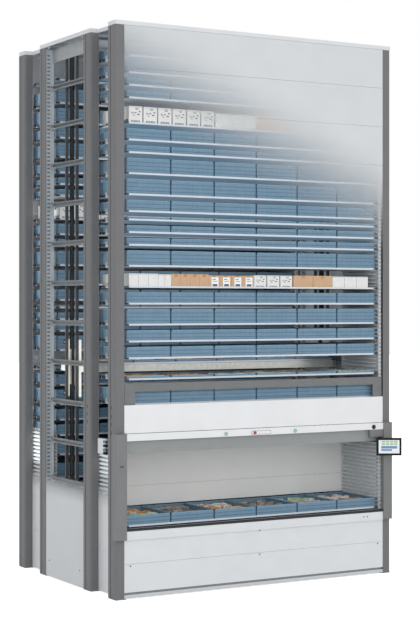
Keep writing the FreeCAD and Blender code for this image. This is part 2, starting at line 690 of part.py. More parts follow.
BRACE_IN = f"{UPRIGHT_X[1]} - frame_sheet"
BRACE_X = (f"{BRACE_IN} - brace_deep", BRACE_IN)
BRACE_Y = (f"{FRONT_UPRIGHT[1]} - brace_lap", f"{REAR_UPRIGHT[0]} + brace_lap")
BRACE_PAST = (f"{BRACE_Y[0]} - 1", f"{BRACE_Y[1]} + 1")
brace_bar = block("brace_bar", BRACE_X, BRACE_Y, ("-brace_tall / 2", "brace_tall / 2"))
brace_hollow = block("brace_hollow", (f"{BRACE_X[0]} + frame_sheet", f"{BRACE_X[1]} - frame_sheet"),
                     BRACE_PAST, ("frame_sheet - brace_tall / 2", "brace_tall / 2 - frame_sheet"))
brace_mouth = block("brace_mouth", (f"{BRACE_X[0]} - 1", f"{BRACE_X[0]} + frame_sheet + 1"), BRACE_PAST,
                    ("brace_lip - brace_tall / 2", "brace_tall / 2 - brace_lip"))
brace = cut("brace", brace_bar, brace_hollow, brace_mouth)
node("side_braces", pair("brace_pairs", stack("left_braces", brace, BRACES,
                                              "brace_steps * slot_pitch", "brace_first")))

top_plate = block("top_plate", (f"{BRACE_IN} - frame_sheet", BRACE_IN), BRACE_Y,
                  (f"{FRAME_TOP} - top_plate_tall", FRAME_TOP))
axle = rod("axle", "x", "axle_radius", (BRACE_IN, from_left("belt_side + belt_wide + joint_gap")),
           ("0", "pulley_high"))
cross_front = block("cross_front", either_side("width / 2 - frame_side - frame_sheet"),
                    (f"{BRACE_Y[0]} + joint_gap", f"{BRACE_Y[0]} + cross_deep"),
                    (FRAME_TOP, f"{FRAME_TOP} + roof_gap"))
cross_rear = block("cross_rear", either_side("width / 2 - frame_side - frame_sheet"),
                   (f"{BRACE_Y[1]} - cross_deep", f"{BRACE_Y[1]} - joint_gap"),
                   (FRAME_TOP, f"{FRAME_TOP} + roof_gap"))
top_side = fuse("top_side", top_plate, axle)
node("roof_frame", group("top_frame", top_side, mirror("top_side_twin", top_side), cross_front, cross_rear))


# Rack uprights and walls of ribs that carry the trays

RACK_X = (f"-({RIB_WALL})", f"-({RACK_INNER})")
RACK_MIDDLE = f"-({RIB_WALL} - rack_wide / 2)"
RACK_SLOT = (f"{RACK_MIDDLE} - rack_slot / 2", f"{RACK_MIDDLE} + rack_slot / 2")
RIBS_START = "rack_start + rack_deep"
RIBS_END = "wall_back + sheet_thick - rack_deep"
RACK_YS = [
    (from_front("rack_start"), from_front(RIBS_START)),
    (from_front(RIBS_END), from_front(f"{RIBS_END} + rack_deep")),
    (from_back(f"{RIBS_END} + rack_deep"), from_back(RIBS_END)),
    (from_back(RIBS_START), from_back("rack_start")),
]
racks = []
for n, ends in enumerate(RACK_YS):
    racks.append(slotted_upright(f"rack_{n}", RACK_X, ends, "+y", RACK_SLOT))
node("rack_uprights", pair("rack_pairs", group("left_racks", *racks)))


def rib_wall(name, low, steps, start, end):
    """A rolled sheet with ribs whose flat tops are a slot step apart, from a height upwards."""
    face = -(size("width") / 2 - size("post_wide") - size("rib_wall_back"))
    tip = -(size("tray_wide") / 2 - size("rib_lap"))
    pitch = size("slot_pitch")
    sheet_wall = size("rib_sheet")
    slope = sheet_wall * 0.9
    near = [(face + sheet_wall, low - pitch)]
    far = [(face, low - pitch)]
    for n in range(steps):
        top = low + n * pitch
        near += [(face + sheet_wall, top - size("rib_root")), (tip, top - size("rib_tip")), (tip, top),
                 (face + sheet_wall, top)]
        far += [(face, top - size("rib_root") + slope), (tip - sheet_wall, top - size("rib_tip") + slope),
                (tip - sheet_wall, top - sheet_wall), (face, top - sheet_wall)]
    head = low + (steps - 1) * pitch + size("rib_tip") / 2
    near.append((face + sheet_wall, head))
    far.append((face, head))
    corners = [FreeCAD.Vector(x, start, z) for x, z in near + far[::-1]]
    outline = Part.makePolygon(corners + corners[:1])
    wall = doc.addObject("Part::Feature", name)
    wall.Shape = Part.Face(outline).extrude(FreeCAD.Vector(0, end - start, 0))
    return wall


front_face = -size("depth") / 2
ribs_near = size("rack_start") + size("rack_deep")
ribs_far = size("wall_back") + size("sheet_thick") - size("rack_deep")
front_walls = []
for n, (first, last) in enumerate(FRONT_RIBS):
    front_walls.append(rib_wall(f"front_ribs_{n}", size("top_level") - last * size("slot_pitch"),
                                last - first + 1, front_face + ribs_near, front_face + ribs_far))
front_walls.append(rib_wall("access_ribs", size("access_level"), ACCESS_RIBS,
                            front_face + ribs_near, front_face + ribs_far))
rear_walls = []
for n, (first, last) in enumerate(REAR_RIBS):
    rear_walls.append(rib_wall(f"rear_ribs_{n}", size("top_level") - last * size("slot_pitch"),
                               last - first + 1, -front_face - ribs_far, -front_face - ribs_near))
node("tray_ribs", pair("rib_pairs", group("left_ribs", *front_walls, *rear_walls)))


# Trays

HALF_TRAY = "tray_wide / 2"
tray_slab = block("tray_slab", either_side(HALF_TRAY), ("0", "tray_deep"), ("0", "tray_tall"))
tray_inside = block("tray_inside", either_side(f"{HALF_TRAY} - tray_sheet"),
                    ("tray_sheet", "tray_deep - tray_sheet"), ("tray_sheet", "tray_tall + 1"))
HOOK_X = (f"-({HALF_TRAY} + hook_out)", f"-({HALF_TRAY} - hook_in)")
front_hook = block("front_hook", HOOK_X, ("-hook_proud", "0"), ("1", "hook_tall"))
rear_hook = block("rear_hook", HOOK_X, ("tray_deep", "tray_deep + hook_proud"), ("1", "hook_tall"))
hooks = pair("hooks", group("left_hooks", front_hook, rear_hook))
tray = fuse("tray", cut("tray_pan", tray_slab, tray_inside), hooks)
FRONT_STACK = from_front("stack_gap")
REAR_STACK = from_back("stack_gap + tray_deep")
LIFT_TRAY_Y = "-tray_deep / 2"
front_trays = [copy(f"front_tray_{steps}", tray, y=FRONT_STACK, z=level(steps))
               for steps, _ in FRONT_BINS + [(LOWER_CARTONS, 0)]]
rear_trays = [copy(f"rear_tray_{steps}", tray, y=REAR_STACK, z=level(steps))
              for steps, _ in REAR_BINS + [(REAR_CARTONS, 0)]]
node("stored_trays_front", group("front_trays", *front_trays))
node("stored_trays_rear", group("rear_trays", *rear_trays))
node("carton_tray", group("upper_carton_tray",
                          copy("carton_tray_copy", tray, y=FRONT_STACK, z=level(UPPER_CARTONS))))
node("lift_tray", group("tray_on_lift", copy("lift_tray_copy", tray, y=LIFT_TRAY_Y, z=level("lift_steps"))))
node("access_tray", group("tray_in_opening",
                          copy("access_tray_copy", tray, y=FRONT_STACK, z="access_level")))


# Bins

def bin_row(name, tall):
    """A row of open bins of one height across a tray, seated on its floor."""
    outer = block(name + "_outer", either_side("bin_wide / 2"), ("0", "bin_deep"), ("0", tall))
    inner = block(name + "_inner", either_side("bin_wide / 2 - bin_wall"),
                  ("bin_wall", "bin_deep - bin_wall"), ("bin_wall", f"{tall} + 1"))
    one = cut(name + "_bin", outer, inner)
    return group(name, *[copy(f"{name}_{n}", one, x=f"({n} - {(BINS - 1) / 2}) * bin_pitch")
                         for n in range(BINS)])


rows = {steps: bin_row(f"bins_{steps}", f"({steps} * slot_pitch - bin_room - tray_sheet)")
        for steps in (2, 3, 4, 5)}
IN_TRAY = "(tray_deep - bin_deep) / 2"


def stored_bins(name, levels, y):
    return group(name, *[copy(f"{name}_{steps}", rows[free], y=f"{y} + {IN_TRAY}",
                              z=f"{level(steps)} + tray_sheet") for steps, free in levels])


node("stored_bins_front", stored_bins("front_bins", FRONT_BINS, FRONT_STACK))
node("stored_bins_rear", stored_bins("rear_bins", REAR_BINS, REAR_STACK))
node("lift_bins", stored_bins("bins_on_lift", [("lift_steps", 2)], LIFT_TRAY_Y))
access_row = bin_row("access_row", "(access_bin_top - access_level - tray_sheet)")
node("access_bins", group("bins_in_opening",
                          copy("access_row_copy", access_row, y=f"{FRONT_STACK} + {IN_TRAY}",
                               z="access_level + tray_sheet")))


# Cartons

def carton_row(name, tall, steps, stack):
    carton = block(name + "_carton", either_side("carton_wide / 2"), ("0", "carton_deep"), ("0", tall))
    return group(name, *[copy(f"{name}_{n}", carton, x=f"({n} - {(CARTONS - 1) / 2}) * carton_pitch",
                              y=f"{stack} + {IN_TRAY}", z=f"{level(steps)} + tray_sheet")
                         for n in range(CARTONS)])


node("cartons", carton_row("upper_cartons", "carton_tall", UPPER_CARTONS, FRONT_STACK))
node("stored_cartons", group("all_stored_cartons",
                             carton_row("lower_cartons", "low_carton_tall", LOWER_CARTONS, FRONT_STACK),
                             carton_row("rear_cartons", "carton_tall", REAR_CARTONS, REAR_STACK)))


# Lift guides, belts and drive

GUIDE_X = (BRACE_X[1], f"{BRACE_X[1]} + guide_wide")
GUIDE_ENDS = ("base_high", FRAME_TOP)


def guide(name, middle):
    y = (f"{middle} - guide_deep / 2", f"{middle} + guide_deep / 2")
    outer = block(name + "_outer", GUIDE_X, y, GUIDE_ENDS)
    inner = block(name + "_inner", (f"{GUIDE_X[0]} + guide_wall", f"{GUIDE_X[1]} - guide_wall"),
                  (f"{y[0]} + guide_wall", f"{y[1]} - guide_wall"),
                  (f"{GUIDE_ENDS[0]} - 1", f"{GUIDE_ENDS[1]} + 1"))
    return cut(name, outer, inner)


node("lift_guides", pair("guide_pairs", group("left_guides", guide("front_guide", "-guide_spread / 2"),
                                              guide("rear_guide", "guide_spread / 2"))))

BELT_X = (from_left("belt_side"), from_left("belt_side + belt_wide"))


def loop(name, x, radius, ends, along):
    """A closed band round two wheels, as a solid of the given radius."""
    if along == "z":
        middle = block(name + "_middle", x, either_side(radius), ends)
        places = [("0", end) for end in ends]
    else:
        height = along
        middle = block(name + "_middle", x, ends, (f"{height} - ({radius})", f"{height} + ({radius})"))
        places = [(end, height) for end in ends]
    rounds = [rod(f"{name}_round_{n}", "x", radius, x, place) for n, place in enumerate(places)]
    return fuse(name, middle, *rounds)


BELT_INSIDE = "pulley_radius + pulley_gap"
PULLEYS = ("shaft_high", "pulley_high")
belt = cut("belt", loop("belt_outside", BELT_X, f"{BELT_INSIDE} + belt_thick", PULLEYS, "z"),
           loop("belt_inside", (f"{BELT_X[0]} - 1", f"{BELT_X[1]} + 1"), BELT_INSIDE, PULLEYS, "z"))
node("lift_belts", pair("belt_pair", belt))

upper_pulley = cut("upper_pulley", rod("upper_rim", "x", "pulley_radius", BELT_X, ("0", "pulley_high")),
                   rod("upper_bore", "x", "axle_radius + running_gap",
                       (f"{BELT_X[0]} - 1", f"{BELT_X[1]} + 1"), ("0", "pulley_high")))
node("upper_pulleys", pair("upper_pulley_pair", upper_pulley))

lower_pulley = rod("lower_pulley", "x", "pulley_radius", BELT_X, ("0", "shaft_high"))
drive_rod = rod("drive_rod", "x", "shaft_radius", either_side("width / 2 - shaft_end"), ("0", "shaft_high"))
node("drive_shaft", fuse("drive", drive_rod, lower_pulley, mirror("lower_pulley_twin", lower_pulley)))

BEARING_X = (from_left("plate_side + plate_thick + joint_gap"),
             from_left("plate_side + plate_thick + joint_gap + bearing_wide"))
bearing_block = block("bearing_block", BEARING_X, either_side("bearing_deep / 2"),
                      ("base_high", "shaft_high + bearing_rise"))
bearing_bore = rod("bearing_bore", "x", "shaft_radius + running_gap",
                   (f"{BEARING_X[0]} - 1", f"{BEARING_X[1]} + 1"), ("0", "shaft_high"))
node("shaft_bearings", pair("bearing_pair", cut("bearing", bearing_block, bearing_bore)))

MOTOR_END = "width / 2 - motor_side"
GEARBOX_X = (f"{MOTOR_END} - gearbox_wide", MOTOR_END)
gearbox = block("gearbox", GEARBOX_X, either_side("gearbox_deep / 2"),
                ("base_high", "shaft_high + gearbox_rise"))
motor = rod("motor", "y", "motor_radius", ("gearbox_deep / 2", "gearbox_deep / 2 + motor_long"),
            (f"{MOTOR_END} - gearbox_wide / 2", "shaft_high"))
gear_bore = rod("gear_bore", "x", "shaft_radius + running_gap",
                (f"{GEARBOX_X[0]} - 1", f"{GEARBOX_X[1]} + 1"), ("0", "shaft_high"))
node("gear_motor", cut("motor_unit", fuse("motor_body", gearbox, motor), gear_bore))


# Lift: side plates with belt clamps and roller pins, platform and rollers

PLATE_X = (from_left("plate_side"), from_left("plate_side + plate_thick"))
plate = block("plate", PLATE_X, either_side("plate_deep / 2"), ("plate_low", "plate_high"))
NOTCH_Y = either_side("plate_notch / 2")
NOTCH_X = (f"{PLATE_X[0]} - 1", f"{PLATE_X[1]} + 1")
plate_cut = cut("plate_cut", plate, block("notch_above", NOTCH_X, NOTCH_Y, ("notch_high", "plate_high + 1")),
                block("notch_below", NOTCH_X, NOTCH_Y, ("plate_low - 1", "notch_low")))
BELT_REAR = (BELT_INSIDE, f"{BELT_INSIDE} + belt_thick")
CLAMP_Z = ("notch_low", "notch_high")
clamp_front = block("clamp_front", (BELT_X[0], PLATE_X[0]),
                    (f"{BELT_REAR[0]} - pulley_gap - 2 * sheet_thick", f"{BELT_REAR[0]} - pulley_gap"), CLAMP_Z)
clamp_rear = block("clamp_rear", (BELT_X[0], PLATE_X[0]),
                   (f"{BELT_REAR[1]} + pulley_gap", f"{BELT_REAR[1]} + pulley_gap + 2 * sheet_thick"), CLAMP_Z)
ROLLER_Y = "guide_spread / 2 + guide_deep / 2 + roller_gap + roller_radius"
ROLLER_X = (f"{GUIDE_X[0]} + (guide_wide - roller_wide) / 2",
            f"{GUIDE_X[1]} - (guide_wide - roller_wide) / 2")


def roller_pin(name, height):
    return rod(name, "x", "roller_pin", (ROLLER_X[0], PLATE_X[0]), (ROLLER_Y, height))


lift_side = fuse("lift_side", plate_cut, clamp_front, clamp_rear,
                 roller_pin("pin_low", "roller_low"), roller_pin("pin_high", "roller_high"))
node("lift_side_plates", pair("lift_side_pair", lift_side))


def roller(name, height):
    rim = rod(name + "_rim", "x", "roller_radius", ROLLER_X, (ROLLER_Y, height))
    bore = rod(name + "_bore", "x", "roller_pin + running_gap",
               (f"{ROLLER_X[0]} - 1", f"{ROLLER_X[1]} + 1"), (ROLLER_Y, height))
    return pair(name, cut(name + "_wheel", rim, bore))


node("lift_rollers_upper", roller("upper_roller", "roller_high"))
node("lift_rollers_lower", roller("lower_roller", "roller_low"))

LIFT_TOP = level("lift_steps")
SIDE_BEAM_X = (PLATE_X[1], f"-({RIB_TIP})")
LIFT_Y = either_side("tray_deep / 2")
side_bar = block("side_bar", SIDE_BEAM_X, LIFT_Y, (f"{LIFT_TOP} - beam_tall", LIFT_TOP))
side_hollow = block("side_hollow", (f"{SIDE_BEAM_X[0]} + beam_wall", f"{SIDE_BEAM_X[1]} + 1"),
                    either_side("tray_deep / 2 + 1"),
                    (f"{LIFT_TOP} - beam_tall + beam_wall", f"{LIFT_TOP} - beam_wall"))
side_beam = cut("side_beam", side_bar, side_hollow)
CROSS_Z = (f"{LIFT_TOP} - beam_tall", f"{LIFT_TOP} - beam_drop")
CROSS_X = either_side(RIB_TIP)
FRONT_CROSS = ("-tray_deep / 2", "beam_wide - tray_deep / 2")
front_bar = block("front_bar", CROSS_X, FRONT_CROSS, CROSS_Z)
front_hollow = block("front_hollow", (f"{CROSS_X[0]} - 1", f"{CROSS_X[1]} + 1"),
                     (f"{FRONT_CROSS[0]} + beam_wall", f"{FRONT_CROSS[1]} + 1"),
                     (f"{CROSS_Z[0]} + beam_wall", f"{CROSS_Z[1]} - beam_wall"))
front_beam = cut("front_beam", front_bar, front_hollow)
rear_beam = doc.addObject("Part::Mirroring", "rear_beam")
rear_beam.Source = front_beam
rear_beam.Base = ORIGIN
rear_beam.Normal = Y_AXIS

EXTRACT_Y = "tray_deep / 2 - sprocket_inset"
EXTRACT_Z = f"{LIFT_TOP} - extract_drop"
CHAIN_X = (from_left("chain_side"), from_left("chain_side + chain_wide"))
HANGER_X = (f"{CHAIN_X[1]} + hanger_thick", f"{CHAIN_X[1]} + 2 * hanger_thick")


def hanger(name, y, inner, outer):
    plate_piece = block(name + "_plate", HANGER_X, (inner, outer),
                        (f"{CROSS_Z[0]}", f"{EXTRACT_Z} + extract_radius + hanger_thick"))
    bore = rod(name + "_bore", "x", "extract_radius + running_gap",
               (f"{HANGER_X[0]} - 1", f"{HANGER_X[1]} + 1"), (y, EXTRACT_Z))
    return pair(name, cut(name + "_bored", plate_piece, bore))


hanger_front = hanger("hanger_front", f"-({EXTRACT_Y})", FRONT_CROSS[1],
                      f"-({EXTRACT_Y}) + extract_radius + hanger_thick")
hanger_rear = hanger("hanger_rear", EXTRACT_Y, f"{EXTRACT_Y} - extract_radius - hanger_thick",
                     f"-({FRONT_CROSS[1]})")
motor_box = block("motor_box", either_side("extract_motor_wide / 2"),
                  (f"-({FRONT_CROSS[1]}) - extract_motor_deep", f"-({FRONT_CROSS[1]})"),
                  (f"{CROSS_Z[0]}", f"{CROSS_Z[1]} - beam_wall"))
motor_bore = rod("motor_bore", "x", "extract_radius + running_gap", either_side("extract_motor_wide / 2 + 1"),
                 (EXTRACT_Y, EXTRACT_Z))
extract_motor = cut("extract_motor", motor_box, motor_bore)
node("lift_platform", group("platform", pair("side_beams", side_beam), front_beam, rear_beam,
                            hanger_front, hanger_rear, extract_motor))

CHAIN_INSIDE = "sprocket_radius + pulley_gap"
CHAIN_ENDS = either_side(EXTRACT_Y)
chain = cut("chain", loop("chain_outside", CHAIN_X, f"{CHAIN_INSIDE} + chain_thick", CHAIN_ENDS, EXTRACT_Z),
            loop("chain_inside", (f"{CHAIN_X[0]} - 1", f"{CHAIN_X[1]} + 1"), CHAIN_INSIDE, CHAIN_ENDS, EXTRACT_Z))
node("extractor_chains", pair("chain_pair", chain))


def extractor_shaft(name, y):
    sprocket = rod(name + "_sprocket", "x", "sprocket_radius", CHAIN_X, (y, EXTRACT_Z))
    core = rod(name + "_core", "x", "extract_radius", either_side("width / 2 - chain_side + joint_gap"),
               (y, EXTRACT_Z))
    return fuse(name, core, sprocket, mirror(name + "_twin", sprocket))


node("extractor_shaft_front", extractor_shaft("front_extractor", CHAIN_ENDS[0]))
node("extractor_shaft_rear", extractor_shaft("rear_extractor", CHAIN_ENDS[1]))


# Label plate, buttons and key switch on the control band

LABEL_Y = (f"{BAND_FACE} - label_thick", BAND_FACE)
LABEL_X = either_side("label_wide / 2 - label_round")
LABEL_Z = ("label_low + label_round", "label_high - label_round")
label_parts = [
    block("label_long", either_side("label_wide / 2"), LABEL_Y, LABEL_Z),
    block("label_tall", LABEL_X, LABEL_Y, ("label_low", "label_high")),
]
for n, (x, z) in enumerate([(x, z) for x in LABEL_X for z in LABEL_Z]):
    label_parts.append(rod(f"label_round_{n}", "y", "label_round", LABEL_Y, (x, z)))
label_hole = rod("label_hole", "y", "stop_stem + stem_gap", (f"{LABEL_Y[0]} - 1", f"{LABEL_Y[1]} + 1"),
                 ("stop_place", "control_height"))
node("label_plate", cut("label", fuse("label_outline", *label_parts), label_hole))


def push_piece(name, place, radius, proud, head, stem):
    """A round head in front of the band with a stem through its hole."""
    cap = rod(name + "_cap", "y", radius, (f"{BAND_FACE} - {proud}", f"{BAND_FACE} - {proud} + {head}"),
              (place, "control_height"))
    stem_rod = rod(name + "_stem", "y", stem, (f"{BAND_FACE} - {proud} + {head}", f"{BAND_SHEET} + stem_in"),
                   (place, "control_height"))
    return fuse(name, cap, stem_rod)


node("green_button_left", push_piece("green_left", "-green_place", "green_radius", "green_proud",
                                     "green_proud / 2", "green_stem"))
node("green_button_right", push_piece("green_right", "green_place", "green_radius", "green_proud",
                                      "green_proud / 2", "green_stem"))
node("stop_button", push_piece("stop", "stop_place", "stop_radius", "stop_proud", "stop_head", "stop_stem"))
node("key_switch", push_piece("key", "key_place", "key_radius", "key_proud", "key_proud - stem_gap",
                              "key_stem"))


# Operator panel on its arm

def at_pivot(piece):
    """Turns a piece made round the arm's pivot and puts it at that pivot."""
    piece.Placement = FreeCAD.Placement(ORIGIN, FreeCAD.Rotation(Z_AXIS, size("panel_turn")))
    for axis, place in zip("xyz", ("pivot_place", from_front("-pivot_proud"), "0")):
        piece.setExpression(f"Placement.Base.{axis}", formula(place))
    return piece


bracket_block = block("bracket_block", ("bracket_left", "bracket_right"),
                      (from_front("-bracket_front"), from_front("bracket_back")), ("bracket_low", "band_low"))
bracket_bore = rod("bracket_bore", "z", "pivot_radius + running_gap",
                   ("bracket_low - 1", "band_low - 2 * arm_radius"), ("pivot_place", from_front("-pivot_proud")))
node("panel_bracket", cut("bracket", bracket_block, bracket_bore))

TILT_Y = "-arm_long"
stem_tube = rod("stem_tube", "z", "arm_radius", ("panel_height - arm_radius", "bracket_low"), ("0", "0"))
pivot_pin = rod("pivot_pin", "z", "pivot_radius", ("bracket_low", "band_low - 3 * arm_radius"), ("0", "0"))
reach_tube = rod("reach_tube", "y", "reach_radius", (TILT_Y, "0"), ("0", "panel_height"))
eye = rod("eye", "x", "arm_radius", either_side("tilt_eye / 2"), (TILT_Y, "panel_height"))
eye_bore = rod("eye_bore", "x", "tilt_pin + running_gap", either_side("tilt_eye / 2 + 1"), (TILT_Y, "panel_height"))
arm = cut("arm", fuse("arm_parts", stem_tube, pivot_pin, reach_tube, eye), eye_bore)
node("panel_arm", at_pivot(group("arm_turned", arm)))

BACK = f"{TILT_Y} - tilt_back"
PANEL_X = ("panel_shift - panel_wide / 2", "panel_shift + panel_wide / 2")
PANEL_Z = ("panel_height - panel_tall / 2", "panel_height + panel_tall / 2")
panel_slab = block("panel_slab", PANEL_X, (f"{BACK} - panel_thick", BACK), PANEL_Z)
screen_cut = block("screen_cut", (f"{PANEL_X[0]} + panel_rim", f"{PANEL_X[1]} - panel_rim"),
                   (f"{BACK} - panel_thick - 1", f"{BACK} - panel_thick + screen_sunk"),
                   (f"{PANEL_Z[0]} + panel_rim", f"{PANEL_Z[1]} - panel_rim"))
ear = block("ear", ("tilt_eye / 2 + ear_gap", "tilt_eye / 2 + ear_gap + ear_thick"),
            (BACK, f"{TILT_Y} + 2 * tilt_pin"), ("panel_height - 2 * tilt_pin", "panel_height + 2 * tilt_pin"))
tilt_rod = rod("tilt_rod", "x", "tilt_pin", either_side("tilt_eye / 2 + ear_gap + ear_thick / 2"),
               (TILT_Y, "panel_height"))
panel = fuse("panel", cut("panel_case", panel_slab, screen_cut), pair("ears", ear), tilt_rod)
node("operator_panel", at_pivot(group("panel_turned", panel)))


# Terminal box, screws and locks

BOX_X = (from_left("post_wide - side_fold - sheet_thick - box_out"),
         from_left("post_wide - side_fold - sheet_thick"))
node("terminal_box", block("box", BOX_X, (from_front("box_start"), from_front("box_start + box_long")),
                           ("box_low", "box_low + box_tall")))

screws = []
for name, height in (("low", "base_cover_seam - 18"), ("high", "counter_low - 10")):
    places = ["0"] if name == "high" else ["-(width / 2 - post_wide - 70)", "0", "width / 2 - post_wide - 70"]
    for n, place in enumerate(places):
        screws.append(rod(f"{name}_screw_{n}", "y", "screw_radius",
                          (from_front("cover_set_back - screw_head"), from_front("cover_set_back")), (place, height)))
side_screws = []
for n, start in enumerate(POST_STARTS):
    side_screws.append(rod(f"post_screw_{n}", "x", "screw_radius", (from_left("-screw_head"), from_left("0")),
                           (from_front(f"{start} + post_deep / 2"), "foot_thick + 102")))
for n, place in enumerate((f"{SHAFT_START} + 88", f"{SHAFT_END} - 88")):
    side_screws.append(rod(f"side_screw_{n}", "x", "screw_radius",
                           (from_left("cover_set_back - screw_head"), from_left("cover_set_back")),
                           (from_front(place), "foot_thick + 174")))
side_screws.append(rod("lock", "y", "lock_radius",
                       (from_front("-sleeve_proud - screw_head"), from_front("-sleeve_proud")),
                       (from_left("post_wide / 2 - screw_radius"), "lock_height")))
node("cover_screws", group("all_screws", *screws,
                           pair("side_screw_pairs", group("left_screws", *side_screws))))


# Checks and files

doc.recompute()
for item in doc.Objects:
    if "Invalid" in item.State or "Error" in item.State:
        raise RuntimeError(f"{item.Name} is {item.State}")
os.makedirs("parts", exist_ok=True)
for item in nodes:
    shape = item.Shape
    if shape.isNull() or not shape.isValid():
        raise RuntimeError(f"{item.Label} has a bad shape")
    shape.exportStep(f"parts/{item.Label}.step")
    print(item.Label, len(shape.Solids), round(shape.Volume / 1e6, 3))
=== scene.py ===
import math
import random

import bpy
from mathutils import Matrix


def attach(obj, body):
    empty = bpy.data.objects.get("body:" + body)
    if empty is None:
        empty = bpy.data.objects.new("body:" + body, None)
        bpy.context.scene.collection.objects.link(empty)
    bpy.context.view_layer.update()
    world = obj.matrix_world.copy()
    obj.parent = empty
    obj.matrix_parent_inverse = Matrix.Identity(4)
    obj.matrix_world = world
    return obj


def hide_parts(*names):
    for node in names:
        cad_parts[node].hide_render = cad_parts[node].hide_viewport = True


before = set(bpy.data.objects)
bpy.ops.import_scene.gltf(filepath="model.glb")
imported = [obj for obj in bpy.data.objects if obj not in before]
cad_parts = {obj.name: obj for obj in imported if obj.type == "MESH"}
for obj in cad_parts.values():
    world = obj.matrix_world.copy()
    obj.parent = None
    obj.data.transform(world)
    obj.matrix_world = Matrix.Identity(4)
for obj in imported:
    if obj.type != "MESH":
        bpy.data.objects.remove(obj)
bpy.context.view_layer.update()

random.seed(7)

# The cabinet's size in metres. Sizes below are given from the outer left plane (X), from the
# front plane (Y) and from the floor (Z) where they come from the cabinet, and at() moves them
# into the row frame.
WIDTH = 3.380
DEPTH = 2.436
PITCH = 0.0424
TOP = 5.457
TRAY_SHEET = 0.002


def at(x, y):
    return x - WIDTH / 2, y - DEPTH / 2


def level(steps):
    return TOP - steps * PITCH


# Camera, lamps, world and floor

scene = bpy.context.scene
camera_data = bpy.data.cameras.new("camera")
camera = bpy.data.objects.new("camera", camera_data)
scene.collection.objects.link(camera)
camera.location = (-8.7786, -15.4197, 2.9539)
camera.rotation_euler = (math.radians(90), 0, math.radians(-29.93))
camera_data.sensor_fit = "AUTO"
camera_data.sensor_width = 36.0
camera_data.lens = 91.08
camera_data.shift_y = -0.01484
camera_data.clip_end = 200
scene.camera = camera

scene.view_settings.view_transform = "Standard"
# The left ribs and covers are see-through, and a ray crosses many of their faces.
scene.cycles.transparent_max_bounces = 64


def area_lamp(name, place, target, size, power):
    data = bpy.data.lights.new(name, "AREA")
    data.shape = "RECTANGLE"
    data.size, data.size_y = size
    data.energy = power
    lamp = bpy.data.objects.new(name, data)
    scene.collection.objects.link(lamp)
    lamp.location = place
    way = [target[i] - place[i] for i in range(3)]
    flat = math.hypot(way[0], way[1])
    lamp.rotation_euler = (math.atan2(flat, -way[2]), 0, math.atan2(-way[0], way[1]))
    return lamp


area_lamp("front_lamp", (-4.8, -14.2, 6.0), (0.0, -0.6, 2.4), (9.0, 8.0), 430)
area_lamp("right_lamp", (9.0, -9.0, 6.0), (0.5, 0.0, 2.6), (6.0, 7.0), 60)
area_lamp("rear_lamp", (3.0, 12.0, 8.0), (0.0, 0.0, 3.0), (8.0, 6.0), 120)
# The open bays on the left hold little light of their own, so each has a soft strip inside.
for n, (x, y, wide, power) in enumerate(((-1.600, -0.845, 0.44, 2.0), (-1.583, 0.0, 0.80, 7.0),
                                         (-1.600, 0.845, 0.44, 6.0))):
    area_lamp(f"bay_lamp_{n}", (x, y, 3.40), (x + 1.0, y, 3.40), (wide, 4.4), power)
# The rear stack shows through the gaps over the front bins, and another strip in the shaft lights it.
area_lamp("shaft_lamp", (0.0, -0.460, 3.90), (0.0, 1.0, 3.90), (2.3, 3.4), 13.0)


def nodes_of(owner):
    owner.use_nodes = True
    tree = owner.node_tree
    tree.nodes.clear()
    return tree


def link(tree, *pairs):
    for source, target in pairs:
        tree.links.new(source, target)


def background_ray(tree):
    """1 where the ray should see the plain backdrop: camera, glossy and transmission rays."""
    path = tree.nodes.new("ShaderNodeLightPath")
    first = tree.nodes.new("ShaderNodeMath")
    first.operation = "MAXIMUM"
    second = tree.nodes.new("ShaderNodeMath")
    second.operation = "MAXIMUM"
    link(tree, (path.outputs["Is Camera Ray"], first.inputs[0]),
         (path.outputs["Is Glossy Ray"], first.inputs[1]),
         (first.outputs[0], second.inputs[0]),
         (path.outputs["Is Transmission Ray"], second.inputs[1]))
    return second.outputs[0]


world = bpy.data.worlds.new("world")
scene.world = world
tree = nodes_of(world)
sky = tree.nodes.new("ShaderNodeBackground")
sky.inputs["Color"].default_value = (0.97, 0.985, 1.0, 1)
sky.inputs["Strength"].default_value = 0.76
backdrop = tree.nodes.new("ShaderNodeBackground")
backdrop.inputs["Color"].default_value = (1, 1, 1, 1)
backdrop.inputs["Strength"].default_value = 1.0
mix = tree.nodes.new("ShaderNodeMixShader")
out = tree.nodes.new("ShaderNodeOutputWorld")
link(tree, (background_ray(tree), mix.inputs[0]), (sky.outputs[0], mix.inputs[1]),
     (backdrop.outputs[0], mix.inputs[2]), (mix.outputs[0], out.inputs["Surface"]))


def linear(value):
    return value / 12.92 if value <= 0.04045 else ((value + 0.055) / 1.055) ** 2.4


def srgb(red, green, blue):
    """A colour given as it shows on screen, 0 to 255."""
    return tuple(linear(v / 255) for v in (red, green, blue)) + (1.0,)


# Materials

def coordinates(tree):
    return tree.nodes.new("ShaderNodeTexCoord").outputs["Object"]


def mapped(tree, scale):
    mapping = tree.nodes.new("ShaderNodeMapping")
    mapping.inputs["Scale"].default_value = scale
    link(tree, (coordinates(tree), mapping.inputs["Vector"]))
    return mapping.outputs[0]


def noise(tree, scale, detail=3.0, stretch=(1, 1, 1)):
    node = tree.nodes.new("ShaderNodeTexNoise")
    node.inputs["Scale"].default_value = scale
    node.inputs["Detail"].default_value = detail
    link(tree, (mapped(tree, stretch), node.inputs["Vector"]))
    return node.outputs["Fac"]


